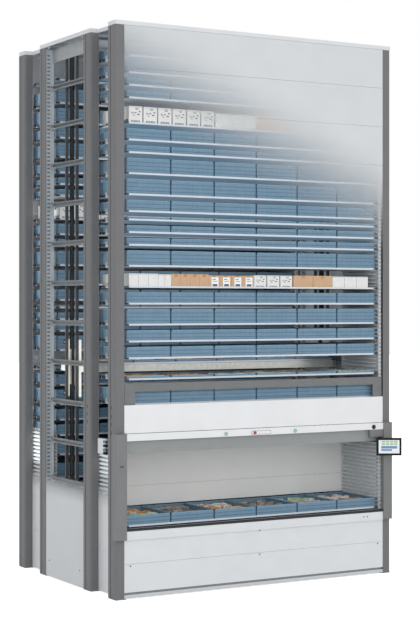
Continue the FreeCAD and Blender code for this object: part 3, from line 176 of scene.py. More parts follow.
def ramp(tree, source, stops):
    """Colours at places along a value from 0 to 1."""
    node = tree.nodes.new("ShaderNodeValToRGB")
    points = node.color_ramp.elements
    while len(points) < len(stops):
        points.new(0.5)
    for point, (place, colour) in zip(points, stops):
        point.position = place
        point.color = colour
    link(tree, (source, node.inputs["Fac"]))
    return node.outputs["Color"]


def shaded(colour, factor):
    return tuple(min(1.0, c * factor) for c in colour[:3]) + (1.0,)


def surface(name, colour, rough=0.5, metal=0.0, grain=30.0, spread=0.06, bump=0.1, bump_scale=220.0,
            stretch=(1, 1, 1), coat=0.0, sheen=0.5, finish=None):
    """A procedural finish: two tones that drift into each other, and a fine relief."""
    material = bpy.data.materials.new(name)
    tree = nodes_of(material)
    shader = tree.nodes.new("ShaderNodeBsdfPrincipled")
    shader.inputs["Metallic"].default_value = metal
    shader.inputs["Coat Weight"].default_value = coat
    shader.inputs["Specular IOR Level"].default_value = sheen
    output = tree.nodes.new("ShaderNodeOutputMaterial")
    tone = ramp(tree, noise(tree, grain, 3, stretch),
                [(0.3, shaded(colour, 1 - spread)), (0.7, shaded(colour, 1 + spread))])
    gloss = tree.nodes.new("ShaderNodeMapRange")
    gloss.inputs["To Min"].default_value = max(0.02, rough - 0.06)
    gloss.inputs["To Max"].default_value = min(1.0, rough + 0.06)
    relief = tree.nodes.new("ShaderNodeBump")
    relief.inputs["Strength"].default_value = bump
    relief.inputs["Distance"].default_value = 0.0006
    link(tree, (noise(tree, grain * 2.3, 2, stretch), gloss.inputs["Value"]),
         (gloss.outputs[0], shader.inputs["Roughness"]),
         (noise(tree, bump_scale, 2, stretch), relief.inputs["Height"]),
         (relief.outputs[0], shader.inputs["Normal"]),
         (tone, shader.inputs["Base Color"]), (shader.outputs[0], output.inputs["Surface"]))
    if finish:
        finish(tree, shader, tone)
    return material


def math_node(tree, operation, first, second=None, third=None):
    node = tree.nodes.new("ShaderNodeMath")
    node.operation = operation
    for socket, value in zip(node.inputs, (first, second, third)):
        if value is None:
            continue
        if isinstance(value, (int, float)):
            socket.default_value = value
        else:
            link(tree, (value, socket))
    return node.outputs[0]


def smooth_step(tree, value, low, high):
    node = tree.nodes.new("ShaderNodeMapRange")
    node.interpolation_type = "SMOOTHSTEP"
    node.inputs["From Min"].default_value = low
    node.inputs["From Max"].default_value = high
    link(tree, (value, node.inputs["Value"]))
    return node.outputs[0]


def split_axes(tree):
    node = tree.nodes.new("ShaderNodeSeparateXYZ")
    link(tree, (coordinates(tree), node.inputs[0]))
    return node.outputs


def lets_light_in(tree, alpha):
    """A cover drawn see-through doesn't shade what is behind it."""
    path = tree.nodes.new("ShaderNodeLightPath")
    return math_node(tree, "MULTIPLY", alpha, math_node(tree, "SUBTRACT", 1.0, path.outputs["Is Shadow Ray"]))


def front_fade(tree, shader, tone):
    """The upper front covers fade from clear at the lower left to solid at the upper right.

    The inner skin and the folds go clear much sooner than the outer skin, so the cover doesn't
    count twice.
    """
    x, y, z = split_axes(tree)
    along = math_node(tree, "MULTIPLY_ADD", x, 0.45, z)
    alpha = smooth_step(tree, along, 4.12, 5.37)
    outer = math_node(tree, "LESS_THAN", y, -DEPTH / 2 + 0.0015)
    sharp = math_node(tree, "MULTIPLY_ADD", outer, -11.0, 12.0)
    link(tree, (lets_light_in(tree, math_node(tree, "POWER", alpha, sharp)), shader.inputs["Alpha"]))


def side_fade(tree, shader, tone):
    """Clear on the left from the access opening up, solid below it and on the right."""
    x, y, z = split_axes(tree)
    low = math_node(tree, "SUBTRACT", 1.0, smooth_step(tree, z, 0.86, 1.14))
    right = math_node(tree, "GREATER_THAN", x, 0.0)
    alpha = math_node(tree, "MAXIMUM", low, right)
    link(tree, (lets_light_in(tree, alpha), shader.inputs["Alpha"]))


def rib_fade(tree, shader, tone):
    """The left tray ribs go clear with the cover in front of them, except inside the opening."""
    x, y, z = split_axes(tree)
    high = smooth_step(tree, z, 1.46, 1.60)
    left = math_node(tree, "LESS_THAN", x, 0.0)
    gone = math_node(tree, "MULTIPLY", high, left)
    link(tree, (math_node(tree, "SUBTRACT", 1.0, gone), shader.inputs["Alpha"]))


POST_GREY = srgb(121, 121, 122)
WHITE_PAINT = srgb(226, 228, 230)
BLUE = srgb(110, 142, 164)

post_paint = surface("post_paint", POST_GREY, 0.5, grain=9, spread=0.03, bump=0.12, bump_scale=400,
                     sheen=0.15)
opening_paint = surface("opening_paint", srgb(131, 132, 132), 0.5, grain=9, spread=0.03, bump_scale=400,
                        sheen=0.15)
portal_paint = surface("portal_paint", srgb(122, 124, 124), 0.5, grain=9, spread=0.04, bump_scale=400,
                       sheen=0.2)
head_paint = surface("head_paint", srgb(146, 149, 148), 0.45, grain=9, spread=0.03, bump_scale=400)
white_paint = surface("white_paint", WHITE_PAINT, 0.38, grain=4, spread=0.02, bump_scale=450)
band_paint = surface("band_paint", srgb(236, 237, 238), 0.35, grain=4, spread=0.02, bump_scale=450)
# The opening's back wall is a lighter copy of the white paint, painted light making up for the shade inside
# the opening.
wall_paint = surface("wall_paint", srgb(243, 243, 242), 0.5, grain=4, spread=0.02, bump_scale=450)
plinth_paint = surface("plinth_paint", srgb(206, 208, 210), 0.45, grain=4, spread=0.02, bump_scale=450)
roof_paint = surface("roof_paint", srgb(222, 224, 226), 0.4, grain=4, spread=0.03, bump_scale=450)
rear_paint = surface("rear_paint", srgb(208, 210, 212), 0.42, grain=4, spread=0.02, bump_scale=450)
front_clear = surface("front_clear", srgb(214, 217, 219), 0.4, grain=3, spread=0.02, bump_scale=450,
                      finish=front_fade)
# The recess covers and the side covers carry one white cover paint in two tones: lighter in the recesses
# between the posts, painted light making up for their shade, and darker on the outer side faces, painted
# shade.
recess_clear = surface("recess_clear", srgb(228, 230, 232), 0.32, grain=3, spread=0.02, bump_scale=450,
                       finish=side_fade)
side_clear = surface("side_clear", srgb(210, 213, 214), 0.45, grain=3, spread=0.02, bump_scale=450,
                     sheen=0.3, finish=side_fade)
galvanised = surface("galvanised", srgb(150, 153, 155), 0.38, metal=0.55, grain=38, spread=0.14, bump=0.2,
                     bump_scale=160)
rib_steel = surface("rib_steel", srgb(226, 230, 232), 0.4, metal=0.15, grain=30, spread=0.06, bump_scale=160,
                    finish=rib_fade)
rack_steel = surface("rack_steel", srgb(214, 217, 219), 0.4, metal=0.2, grain=30, spread=0.08, bump_scale=160,
                     finish=rib_fade)
upright_steel = surface("upright_steel", srgb(186, 194, 199), 0.4, metal=0.25, grain=30, spread=0.08,
                        bump_scale=160)
# The lift's side plates and platform have a brightened colour, painted light in place of the light that
# reaches little into the shaft.
lift_steel = surface("lift_steel", srgb(226, 226, 218), 0.45, metal=0.1, grain=24, spread=0.08,
                     bump_scale=160)
floor_steel = surface("floor_steel", srgb(130, 132, 134), 0.5, metal=0.4, grain=20, spread=0.1)
guide_paint = surface("guide_paint", srgb(74, 75, 79), 0.5, grain=20, spread=0.06)
belt_rubber = surface("belt_rubber", srgb(44, 44, 46), 0.75, grain=60, spread=0.12, bump=0.6, bump_scale=120,
                      stretch=(1, 1, 4))
tray_steel = surface("tray_steel", srgb(214, 220, 228), 0.34, metal=0.1, grain=14, spread=0.03)
machined = surface("machined_steel", srgb(150, 150, 152), 0.3, metal=0.9, grain=60, spread=0.08,
                   stretch=(6, 1, 1))
cast_iron = surface("cast_iron", srgb(66, 70, 76), 0.6, metal=0.2, grain=90, spread=0.1, bump=0.6)
black_plastic = surface("black_plastic", srgb(26, 26, 28), 0.5, grain=50, spread=0.1, bump_scale=500,
                        sheen=0.12)
dark_hook = surface("dark_hook", srgb(46, 50, 56), 0.5, grain=50, spread=0.1)
tray_block = surface("tray_block", srgb(150, 158, 162), 0.5, grain=50, spread=0.06)
brace_steel = surface("brace_steel", srgb(112, 118, 121), 0.42, metal=0.4, grain=38, spread=0.12, bump=0.2,
                      bump_scale=160)
navy_rail = surface("navy_rail", srgb(44, 58, 86), 0.45, grain=30, spread=0.06)
edge_rubber = surface("edge_rubber", srgb(14, 14, 15), 0.5, grain=50, spread=0.2, bump_scale=500)
bin_plastic = surface("bin_plastic", BLUE, 0.5, grain=12, spread=0.05, bump=0.2, bump_scale=300)
# A lighter copy of the bin blue: a painted highlight on the bin rims.
bin_rim_highlight = surface("bin_rim_highlight", srgb(124, 156, 178), 0.45, grain=12, spread=0.05, bump_scale=300)
# A darker copy of the bin blue: painted shade on the bin ribs.
bin_rib_shade = surface("bin_rib_shade", srgb(80, 110, 134), 0.6, grain=12, spread=0.05, bump_scale=300)
board_brown = surface("board_brown", srgb(206, 170, 136), 0.8, grain=18, spread=0.06, bump=0.5, bump_scale=90,
                      stretch=(8, 1, 1))
board_white = surface("board_white", srgb(232, 232, 230), 0.7, grain=18, spread=0.03, bump=0.3, bump_scale=90)
label_white = surface("label_white", srgb(246, 246, 246), 0.6, grain=30, spread=0.01)
print_grey = surface("print_grey", srgb(96, 98, 102), 0.7, grain=60, spread=0.1)
tape_brown = surface("tape_brown", srgb(178, 142, 106), 0.35, grain=40, spread=0.05)
green_plastic = surface("green_plastic", srgb(150, 206, 178), 0.3, grain=30, spread=0.04, coat=0.4)
grey_plastic = surface("grey_plastic", srgb(176, 182, 182), 0.4, grain=30, spread=0.04)
red_plastic = surface("red_plastic", srgb(164, 30, 34), 0.3, grain=30, spread=0.05, coat=0.4)
label_line = surface("label_line", srgb(128, 132, 134), 0.5, grain=30, spread=0.04)
screen_white = surface("screen_white", srgb(244, 247, 249), 0.15, grain=8, spread=0.01, bump=0.0)
screen_green = surface("screen_green", srgb(176, 206, 168), 0.15, grain=8, spread=0.02, bump=0.0)
screen_blue = surface("screen_blue", srgb(112, 148, 190), 0.15, grain=8, spread=0.02, bump=0.0)
screw_steel = surface("screw_steel", srgb(96, 98, 100), 0.35, metal=0.7, grain=60, spread=0.08)
zinc_bolt = surface("zinc_bolt", srgb(226, 228, 230), 0.4, metal=0.2, grain=60, spread=0.05)
dark_gap = surface("dark_gap", srgb(38, 38, 40), 0.8, grain=40, spread=0.1)
plug_teal = surface("plug_teal", srgb(40, 108, 112), 0.4, grain=40, spread=0.06)

FINISHES = {
    "front_posts": post_paint, "rear_posts": post_paint, "foot_plates": floor_steel,
    "roof_cover": roof_paint, "side_covers": side_clear, "recess_covers": recess_clear,
    "rear_covers": rear_paint, "front_upper_covers": front_clear, "header_cover": band_paint,
    "base_cover_upper": white_paint, "base_cover_lower": white_paint, "plinth": plinth_paint,
    "control_band": band_paint, "label_plate": label_white, "opening_head": head_paint,
    "opening_back_wall": wall_paint, "counter_band": white_paint, "counter_edge": edge_rubber,
    "counter_ledge": galvanised, "opening_covers": opening_paint, "portal_frame": portal_paint,
    "floor_frame": floor_steel, "side_uprights": upright_steel, "side_braces": brace_steel,
    "roof_frame": galvanised, "rack_uprights": rack_steel, "tray_ribs": rib_steel,
    "stored_trays_front": tray_steel, "stored_trays_rear": tray_steel, "carton_tray": tray_steel,
    "lift_tray": tray_steel, "access_tray": tray_steel, "lift_guides": guide_paint,
    "lift_belts": belt_rubber, "shaft_bearings": cast_iron, "gear_motor": cast_iron,
    "panel_bracket": opening_paint, "terminal_box": white_paint, "cover_screws": screw_steel,
    "lift_side_plates": lift_steel, "lift_platform": lift_steel, "extractor_chains": machined,
    "drive_shaft": machined, "upper_pulleys": machined, "lift_rollers_upper": black_plastic,
    "lift_rollers_lower": black_plastic, "extractor_shaft_front": machined,
    "extractor_shaft_rear": machined, "green_button_left": green_plastic,
    "green_button_right": green_plastic, "stop_button": red_plastic, "key_switch": black_plastic,
    "panel_arm": black_plastic, "operator_panel": black_plastic, "stored_bins_front": bin_plastic,
    "stored_bins_rear": bin_plastic, "lift_bins": bin_plastic, "access_bins": bin_plastic,
    "cartons": board_white, "stored_cartons": board_white,
}
BEVELS = {
    "opening_covers": 0.0015, "operator_panel": 0.004, "panel_bracket": 0.004, "green_button_left": 0.0015,
    "green_button_right": 0.0015, "stop_button": 0.003, "key_switch": 0.002, "counter_band": 0.003,
    "control_band": 0.0015, "roof_cover": 0.003, "terminal_box": 0.004, "cover_screws": 0.001,
    "gear_motor": 0.006, "shaft_bearings": 0.004, "counter_ledge": 0.002,
}
for name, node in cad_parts.items():
    node.data.materials.clear()
    node.data.materials.append(FINISHES[name])
for name, wide in BEVELS.items():
    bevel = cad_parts[name].modifiers.new("soft_edges", "BEVEL")
    bevel.width = wide
    bevel.segments = 2
    bevel.limit_method = "ANGLE"
    bevel.angle_limit = math.radians(50)


# Mesh building

BOX_FACES = [(0, 1, 3, 2), (4, 6, 7, 5), (0, 4, 5, 1), (2, 3, 7, 6), (0, 2, 6, 4), (1, 5, 7, 3)]


class Mesh:
    """Collects boxes, discs and outlines, each with a material, and makes one object of them."""

    def __init__(self):
        self.points = []
        self.faces = []
        self.slots = []

    def add(self, points, faces, slot):
        start = len(self.points)
        self.points += points
        self.faces += [tuple(start + n for n in face) for face in faces]
        self.slots += [slot] * len(faces)

    def box(self, x, y, z, slot=0):
        corners = [(a, b, c) for a in x for b in y for c in z]
        self.add(corners, BOX_FACES, slot)

    def disc(self, axis, centre, radius, span, slot=0, sides=24):
        """A short cylinder along an axis, from span[0] to span[1]."""
        a, b = [n for n in range(3) if n != axis]
        points = []
        for end in span:
            for n in range(sides):
                angle = 2 * math.pi * n / sides
                point = [0.0, 0.0, 0.0]
                point[axis] = end
                point[a] = centre[0] + radius * math.cos(angle)
                point[b] = centre[1] + radius * math.sin(angle)
                points.append(tuple(point))
        turn = range(sides)
        faces = [tuple((n, (n + 1) % sides, sides + (n + 1) % sides, sides + n)) for n in turn]
        faces += [tuple(reversed(turn)), tuple(n + sides for n in turn)]
        self.add(points, faces, slot)

    def prism(self, outline, span, slot=0):
        """An outline in Y and Z, drawn out along X."""
        count = len(outline)
        points = [(x, y, z) for x in span for y, z in outline]
        faces = [(n, (n + 1) % count, count + (n + 1) % count, count + n) for n in range(count)]
        faces += [tuple(reversed(range(count))), tuple(n + count for n in range(count))]
        self.add(points, faces, slot)

    def ring(self, x, z, corner, wide, y, slot=0):
        """A flat frame with rounded corners, in X and Z, between two depths."""
        corners = ((x[1] - corner, z[1] - corner, 0), (x[0] + corner, z[1] - corner, 90),
                   (x[0] + corner, z[0] + corner, 180), (x[1] - corner, z[0] + corner, 270))
        turns = [(a, b, math.radians(start + step)) for a, b, start in corners for step in (0, 30, 60, 90)]
        points = []
        for radius, depth in ((corner, y[1]), (corner, y[0]), (corner - wide, y[0]), (corner - wide, y[1])):
            points += [(a + radius * math.cos(turn), depth, b + radius * math.sin(turn))
                       for a, b, turn in turns]
        count = len(turns)
        faces = [(k * count + n, k * count + (n + 1) % count, (k + 1) % 4 * count + (n + 1) % count,
                  (k + 1) % 4 * count + n) for k in range(4) for n in range(count)]
        self.add(points, faces, slot)

    def lump(self, centre, size, turn, slot=0):
        """A small box turned about Z and tipped a little, such as a loose packet."""
        spin, tip = turn
        points = []
        for a in (-1, 1):
            for b in (-1, 1):
                for c in (-1, 1):
                    x, y, z = a * size[0] / 2, b * size[1] / 2, c * size[2] / 2
                    y, z = y * math.cos(tip) - z * math.sin(tip), y * math.sin(tip) + z * math.cos(tip)
                    x, y = x * math.cos(spin) - y * math.sin(spin), x * math.sin(spin) + y * math.cos(spin)
                    points.append((centre[0] + x, centre[1] + y, centre[2] + z))
        self.add(points, BOX_FACES, slot)

    def make(self, name, materials, body, bevel=0.0, stands_for=(), slot_name=None):
        mesh = bpy.data.meshes.new(name)
        mesh.from_pydata(self.points, [], self.faces)
        for material in materials:
            mesh.materials.append(material)
        mesh.polygons.foreach_set("material_index", self.slots)
        mesh.update()
        item = bpy.data.objects.new(name, mesh)
        scene.collection.objects.link(item)
        if bevel:
            edges = item.modifiers.new("soft_edges", "BEVEL")
            edges.width = bevel
            edges.segments = 2
            edges.limit_method = "ANGLE"
        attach(item, body)
        if stands_for:
            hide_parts(*stands_for)
        return item


# Bins, as thin-walled boxes with a rim and ribs on the outside. The rim is drawn in a lighter blue, a painted
# highlight, and the level ribs and the ribs on the ends in a darker blue, painted shade.

BIN_PITCH, BIN_WIDE, BIN_DEEP, BIN_WALL = 0.513, 0.505, 0.640, 0.003
# The bin blue, its lighter copy as a painted highlight and its darker copy as painted shade.
BIN_SETS = [bin_plastic, bin_rim_highlight, bin_rib_shade]
BIN_ROOM = 0.048


def one_bin(mesh, x, y, z, tall):
    """A bin whose middle is x, whose front is y and whose underside is z."""
    x0, x1 = x - BIN_WIDE / 2, x + BIN_WIDE / 2
    y0, y1 = y, y + BIN_DEEP
    top = z + tall
    wall = BIN_WALL
    mesh.box((x0 + 0.002, x1 - 0.002), (y0 + 0.002, y1 - 0.002), (z, z + wall))
    for a, b in ((y0 + 0.002, y0 + wall), (y1 - wall, y1 - 0.002)):
        mesh.box((x0 + 0.002, x1 - 0.002), (a, b), (z, top))
    for a, b in ((x0 + 0.002, x0 + wall), (x1 - wall, x1 - 0.002)):
        mesh.box((a, b), (y0 + 0.002, y1 - 0.002), (z, top))
    # The rim, in the lighter blue, is a painted highlight.
    rim = 0.009
    for a, b in ((y0, y0 + 0.008), (y1 - 0.008, y1)):
        mesh.box((x0, x1), (a, b), (top - rim, top), 1)
    for a, b in ((x0, x0 + 0.008), (x1 - 0.008, x1)):
        mesh.box((a, b), (y0, y1), (top - rim, top), 1)
    # The level ribs on the front and back are in the darker blue, painted shade.
    rows = max(1, int(tall / 0.036))
    step = (tall - rim) / rows
    for n in range(rows):
        low = z + n * step + 0.004
        for a, b in ((y0, y0 + 0.002), (y1 - 0.002, y1)):
            mesh.box((x0 + 0.004, x1 - 0.004), (a, b), (low, low + 0.006), 2)
    columns = 8
    for n in range(columns + 1):
        place = x0 + 0.006 + n * (BIN_WIDE - 0.016) / columns
        for a, b in ((y0 + 0.0004, y0 + 0.002), (y1 - 0.002, y1 - 0.0004)):
            mesh.box((place, place + 0.004), (a, b), (z + 0.004, top - rim), 0)
    # The ribs on the ends are in the darker blue, painted shade.
    for n in range(9):
        place = y0 + 0.03 + n * (BIN_DEEP - 0.06) / 8
        for a, b in ((x0, x0 + 0.002), (x1 - 0.002, x1)):
            mesh.box((a, b), (place, place + 0.005), (z + 0.004, top - rim), 2)


def bin_row(mesh, y, z, tall):
    for n in range(6):
        one_bin(mesh, (n - 2.5) * BIN_PITCH, y, z, tall)


def stack_height(free):
    return free * PITCH - BIN_ROOM


FRONT_BINS = [(0, 4), (4, 4), (7, 3), (10, 3), (20, 4), (23, 3), (28, 5), (33, 5), (37, 4), (39, 2),
              (42, 3), (45, 3), (50, 5), (59, 4), (64, 5), (68, 4), (72, 4), (77, 2), (83, 5), (114, 2)]
REAR_BINS = [(1, 2), (7, 5), (12, 5), (16, 4), (21, 5), (25, 4), (28, 3), (31, 3), (41, 4), (44, 3),
             (49, 5), (54, 5), (58, 4), (60, 2), (63, 3), (66, 3), (71, 5), (76, 2), (80, 4),
             (85, 5), (89, 4), (93, 4), (98, 5), (104, 5), (109, 5), (113, 4), (118, 5), (122, 4)]
EYE_LEVEL = 50
FRONT_Y = -1.151
REAR_Y = 0.511
LIFT_Y = -0.320

# Above eye level the gap over a row shows the underside of the next tray, lit by what the bins throw back.
for steps, free in FRONT_BINS:
    if steps <= EYE_LEVEL:
        gap = level(steps - free) - 0.040
        lamp = area_lamp(f"gap_lamp_{steps}", (0.0, -0.831, gap), (0.0, -0.831, gap + 1), (3.06, 0.62), 1.3)
        lamp.data.color = (0.52, 0.80, 1.0)

front_bins = Mesh()
for steps, free in FRONT_BINS:
    bin_row(front_bins, FRONT_Y, level(steps) + TRAY_SHEET, stack_height(free))
front_bins.make("front_bins", BIN_SETS, "cabinet", stands_for=["stored_bins_front"], slot_name="bin_blue")
rear_bins = Mesh()
for steps, free in REAR_BINS:
    bin_row(rear_bins, REAR_Y, level(steps) + TRAY_SHEET, stack_height(free))
rear_bins.make("rear_bins", BIN_SETS, "cabinet", stands_for=["stored_bins_rear"], slot_name="bin_blue")
lift_bins = Mesh()
bin_row(lift_bins, LIFT_Y, level(74) + TRAY_SHEET, stack_height(2))
lift_bins.make("bins_on_lift", BIN_SETS, "lift_tray", stands_for=["lift_bins"], slot_name="bin_blue")
access_bins = Mesh()
bin_row(access_bins, FRONT_Y, 0.717, 0.112)
access_bins.make("bins_in_opening", BIN_SETS, "access_tray", stands_for=["access_bins"], slot_name="bin_blue")


# Goods in the open bins

GOODS = {
    "grey": [srgb(150, 142, 136), srgb(176, 168, 160), srgb(120, 116, 114)],
    "orange": [srgb(222, 158, 88), srgb(236, 186, 120), srgb(214, 214, 212)],
    "green": [srgb(176, 208, 178), srgb(236, 238, 236), srgb(206, 206, 150)],
    "purple": [srgb(190, 170, 206), srgb(226, 220, 232), srgb(168, 200, 190)],
    "tan": [srgb(196, 160, 122), srgb(168, 130, 96), srgb(222, 204, 182)],
    "white": [srgb(240, 240, 240), srgb(226, 214, 202), srgb(212, 156, 110)],
}
goods_finish = {}
for key, colours in GOODS.items():
    goods_finish[key] = [surface(f"goods_{key}_{n}", colour, 0.55, grain=40, spread=0.08, bump=0.3)
                         for n, colour in enumerate(colours)]


def heap(mesh, x, y, z, room, deep, base, small):
    """Loose pieces filling a bin from its floor up, in layers."""
    for layer in range(3):
        low = z + layer * room / 3
        for n in range(small):
            size = (random.uniform(0.03, 0.075), random.uniform(0.025, 0.06), room / 3 * 0.9)
            place = (x + random.uniform(-0.205, 0.205), y + random.uniform(0.045, deep - 0.045),
                     low + room / 6)
            mesh.lump(place, size, (random.uniform(0, math.pi), random.uniform(-0.15, 0.15)),
                      base + random.choice((0, 0, 1, 2)))


def goods(name, kinds, y, z, room, body):
    mesh = Mesh()
    used = sorted({kind for pair in kinds for kind in pair})
    finishes = [finish for kind in used for finish in goods_finish[kind]]
    for n, (near, far) in enumerate(kinds):
        x = (n - 2.5) * BIN_PITCH
        heap(mesh, x, y + 0.004, z, room, 0.32, used.index(near) * 3, 34)
        heap(mesh, x, y + 0.316, z, room, 0.32, used.index(far) * 3, 34)
    return mesh.make(name, finishes, body, bevel=0.0015)


goods("goods_in_opening", [("green", "orange"), ("grey", "grey"), ("orange", "white"), ("grey", "grey"),
                           ("purple", "green"), ("tan", "white")], FRONT_Y, 0.722, 0.088, "access_tray")
goods("goods_on_low_tray", [("orange", "tan"), ("tan", "grey"), ("green", "grey"), ("green", "tan"),
                            ("grey", "tan"), ("green", "purple")],
      FRONT_Y, level(77) + 0.006, 0.034, "cabinet")
goods("goods_on_lift", [("orange", "tan"), ("grey", "green"), ("tan", "white"), ("grey", "tan"),
                        ("green", "grey"), ("purple", "tan")], LIFT_Y, level(74) + 0.006, 0.030, "lift_tray")


# Cartons

# Plain blocks on a carton's front and end, as shares of its width or depth and of its height.
FRONT_BLOCKS = [(0.46, 0.72, 0.86, 0.89), (0.50, 0.70, 0.80, 0.83), (0.16, 0.34, 0.62, 0.65),
                (0.42, 0.56, 0.60, 0.66), (0.22, 0.40, 0.54, 0.57), (0.62, 0.80, 0.50, 0.57),
                (0.74, 0.86, 0.66, 0.74), (0.30, 0.44, 0.45, 0.48)]
END_BLOCKS = [(0.04, 0.12, 0.10, 0.26), (0.14, 0.20, 0.14, 0.24), (0.16, 0.24, 0.62, 0.72),
              (0.52, 0.57, 0.18, 0.30), (0.52, 0.58, 0.46, 0.56), (0.80, 0.88, 0.16, 0.28),
              (0.70, 0.76, 0.60, 0.70)]


def carton(mesh, x0, x1, y, z, tall, kind):
    """A closed box; kinds: plain white, white with print, brown, brown with a white label."""
    brown = kind.startswith("brown")
    deep = 0.600
    body = 1 if brown else 0
    mesh.box((x0, x1), (y, y + deep), (z, z + tall), body)
    middle = (x0 + x1) / 2
    if brown:
        mesh.box((middle - 0.02, middle + 0.02), (y - 0.0006, y + deep + 0.0006),
                 (z + tall - 0.03, z + tall + 0.0006), 4)
    else:
        mesh.box((x0 + 0.001, x1 - 0.001), (y - 0.0004, y + 0.001), (z + tall * 0.93, z + tall * 0.94), 5)
    if kind == "white_print":
        wide = x1 - x0
        for a, b, c, d in FRONT_BLOCKS:
            mesh.box((x0 + a * wide, x0 + b * wide), (y - 0.0006, y), (z + c * tall, z + d * tall), 3)
        for n in range(7):
            a = x0 + wide * (0.18 + 0.095 * n)
            mesh.box((a, a + wide * (0.05 if n % 2 else 0.07)), (y - 0.0006, y),
                     (z + 0.04 * tall, z + 0.2 * tall), 3)
        for a, b, c, d in END_BLOCKS:
            mesh.box((x0 - 0.0006, x0), (y + a * deep, y + b * deep), (z + c * tall, z + d * tall), 3)
    if kind == "brown_label":
        wide = x1 - x0
        mesh.box((x0 + 0.24 * wide, x0 + 0.86 * wide), (y - 0.0008, y), (z + 0.08 * tall, z + 0.86 * tall), 2)
        for a, b, c, d in ((0.34, 0.62, 0.66, 0.72), (0.34, 0.74, 0.52, 0.56), (0.34, 0.76, 0.14, 0.32)):
            mesh.box((x0 + a * wide, x0 + b * wide), (y - 0.0014, y), (z + c * tall, z + d * tall), 3)


CARTON_SETS = [board_white, board_brown, label_white, print_grey, tape_brown, dark_gap]


def carton_row(mesh, row, y, steps):
    x = at(0.184, 0)[0]
    for kind, count, pitch, gap, tall in row:
        for n in range(count):
            carton(mesh, x, x + pitch - gap, y, level(steps) + TRAY_SHEET, tall, kind)
            x += pitch


def make_cartons(mesh, name, body, node):
    mesh.make(name, CARTON_SETS, body, bevel=0.0015, stands_for=[node], slot_name="carton_board")


upper_cartons = Mesh()
carton_row(upper_cartons, [("white_print", 6, 0.168, 0.016, 0.176), ("white", 3, 0.166, 0.004, 0.160),
                           ("brown", 2, 0.248, 0.003, 0.170), ("white_print", 5, 0.166, 0.006, 0.166)],
           FRONT_Y, 16)
make_cartons(upper_cartons, "upper_cartons", "carton_tray", "cartons")
lower_cartons = Mesh()
carton_row(lower_cartons, [("white", 3, 0.112, 0.003, 0.142), ("white", 2, 0.076, 0.003, 0.136),
                           ("brown", 4, 0.110, 0.002, 0.142), ("brown_label", 4, 0.138, 0.003, 0.130),
                           ("white_print", 3, 0.164, 0.018, 0.136), ("brown", 2, 0.252, 0.004, 0.138),
                           ("white", 3, 0.158, 0.006, 0.132)], FRONT_Y, 55)
carton_row(lower_cartons, [("white_print", 18, 0.168, 0.012, 0.180)], REAR_Y, 37)
make_cartons(lower_cartons, "stored_cartons_row", "cabinet", "stored_cartons")


# Trays: a rolled edge on the lip and dark pull blocks at the ends

def tray_trim(mesh, y, z):
    half = 1.550
    for side in (-1, 1):
        x = sorted((side * 1.5555, side * 1.5165))
        for a, b in ((y - 0.0148, y + 0.004), (y + 0.650, y + 0.6688)):
            mesh.box(x, (a, b), (z + 0.0006, z + 0.0168), 1)
        x = sorted((side * half, side * (half - 0.006)))
        mesh.box(x, (y, y + 0.654), (z + 0.0125, z + 0.0184), 0)
    for a, b in ((y - 0.001, y + 0.006), (y + 0.648, y + 0.655)):
        outline = [(a, z + 0.0105), (b, z + 0.0105), (b, z + 0.0165), (b - 0.0015, z + 0.0185),
                   (a + 0.0015, z + 0.0185), (a, z + 0.0165)]
        mesh.prism(outline, (-half, half), 0)


def tray_ends(mesh, y, z):
    """Dark stops and a light block that stand out from each end of a stored tray."""
    for side in (-1, 1):
        x = sorted((side * 1.5555, side * 1.5495))
        for a, b in ((0.448, 0.518), (0.548, 0.583)):
            mesh.box(x, (y + a, y + b), (z + 0.001, z + 0.027), 1)
        mesh.box(x, (y + 0.396, y + 0.442), (z + 0.011, z + 0.053), 2)


stored_trim = Mesh()
for y, rows in ((-1.158, FRONT_BINS + [(55, 5)]), (0.504, REAR_BINS + [(37, 5)])):
    for steps, free in rows:
        tray_trim(stored_trim, y, level(steps))
        tray_ends(stored_trim, y, level(steps))
stored_trim.make("stored_tray_trim", [tray_steel, dark_hook, tray_block], "cabinet")
for name, body, y, z in (("carton_tray_trim", "carton_tray", -1.158, level(16)),
                         ("lift_tray_trim", "lift_tray", -0.327, level(74)),
                         ("access_tray_trim", "access_tray", -1.158, 0.715)):
    trim = Mesh()
    tray_trim(trim, y, z)
    trim.make(name, [tray_steel, navy_rail if body == "access_tray" else dark_hook], body)


# Small parts on the outside

small = Mesh()
left = -WIDTH / 2


def on_left_face(y, z, deep, tall, slot, proud=0.0008):
    small.box((left - proud, left + 0.0006), (y - deep / 2, y + deep / 2), (z - tall / 2, z + tall / 2), slot)


for z in (1.917, 1.834, 1.751, 1.667):
    on_left_face(at(0, 0.090)[1], z, 0.010, 0.034, 0)
for z in (1.905, 1.826, 1.747):
    on_left_face(at(0, 0.650)[1], z, 0.010, 0.034, 0)
for side in (-1, 1):
    x = side * (WIDTH / 2 - 0.041)
    small.box(sorted((x - side * 0.010, x - side * 0.034)), (-1.2541, -1.2530), (1.330, 1.342), 0)
for x in (1.320, 1.365):
    small.disc(1, (x, 0.641), 0.007, (-1.2434, -1.2418), 0)
for place, radius in ((-0.426, 0.0215), (0.426, 0.0215)):
    small.disc(1, (place, 1.616), radius, (-1.2500, -1.2460), 1, 32)
small.disc(1, (1.450, 1.616), 0.024, (-1.2490, -1.2460), 2, 32)
small.make("small_outer_parts", [dark_gap, grey_plastic, black_plastic], "cabinet")

for name, x in (("green_button_left", -0.426), ("green_button_right", 0.426)):
    cap = Mesh()
    cap.disc(1, (x, 1.616), 0.0095, (-1.2562, -1.2548), 0, 24)
    cap.make(name + "_lens", [grey_plastic], name)
key = Mesh()
key.box((1.4475, 1.4525), (-1.2568, -1.2555), (1.606, 1.626))
key.make("key_slot", [screw_steel], "key_switch")

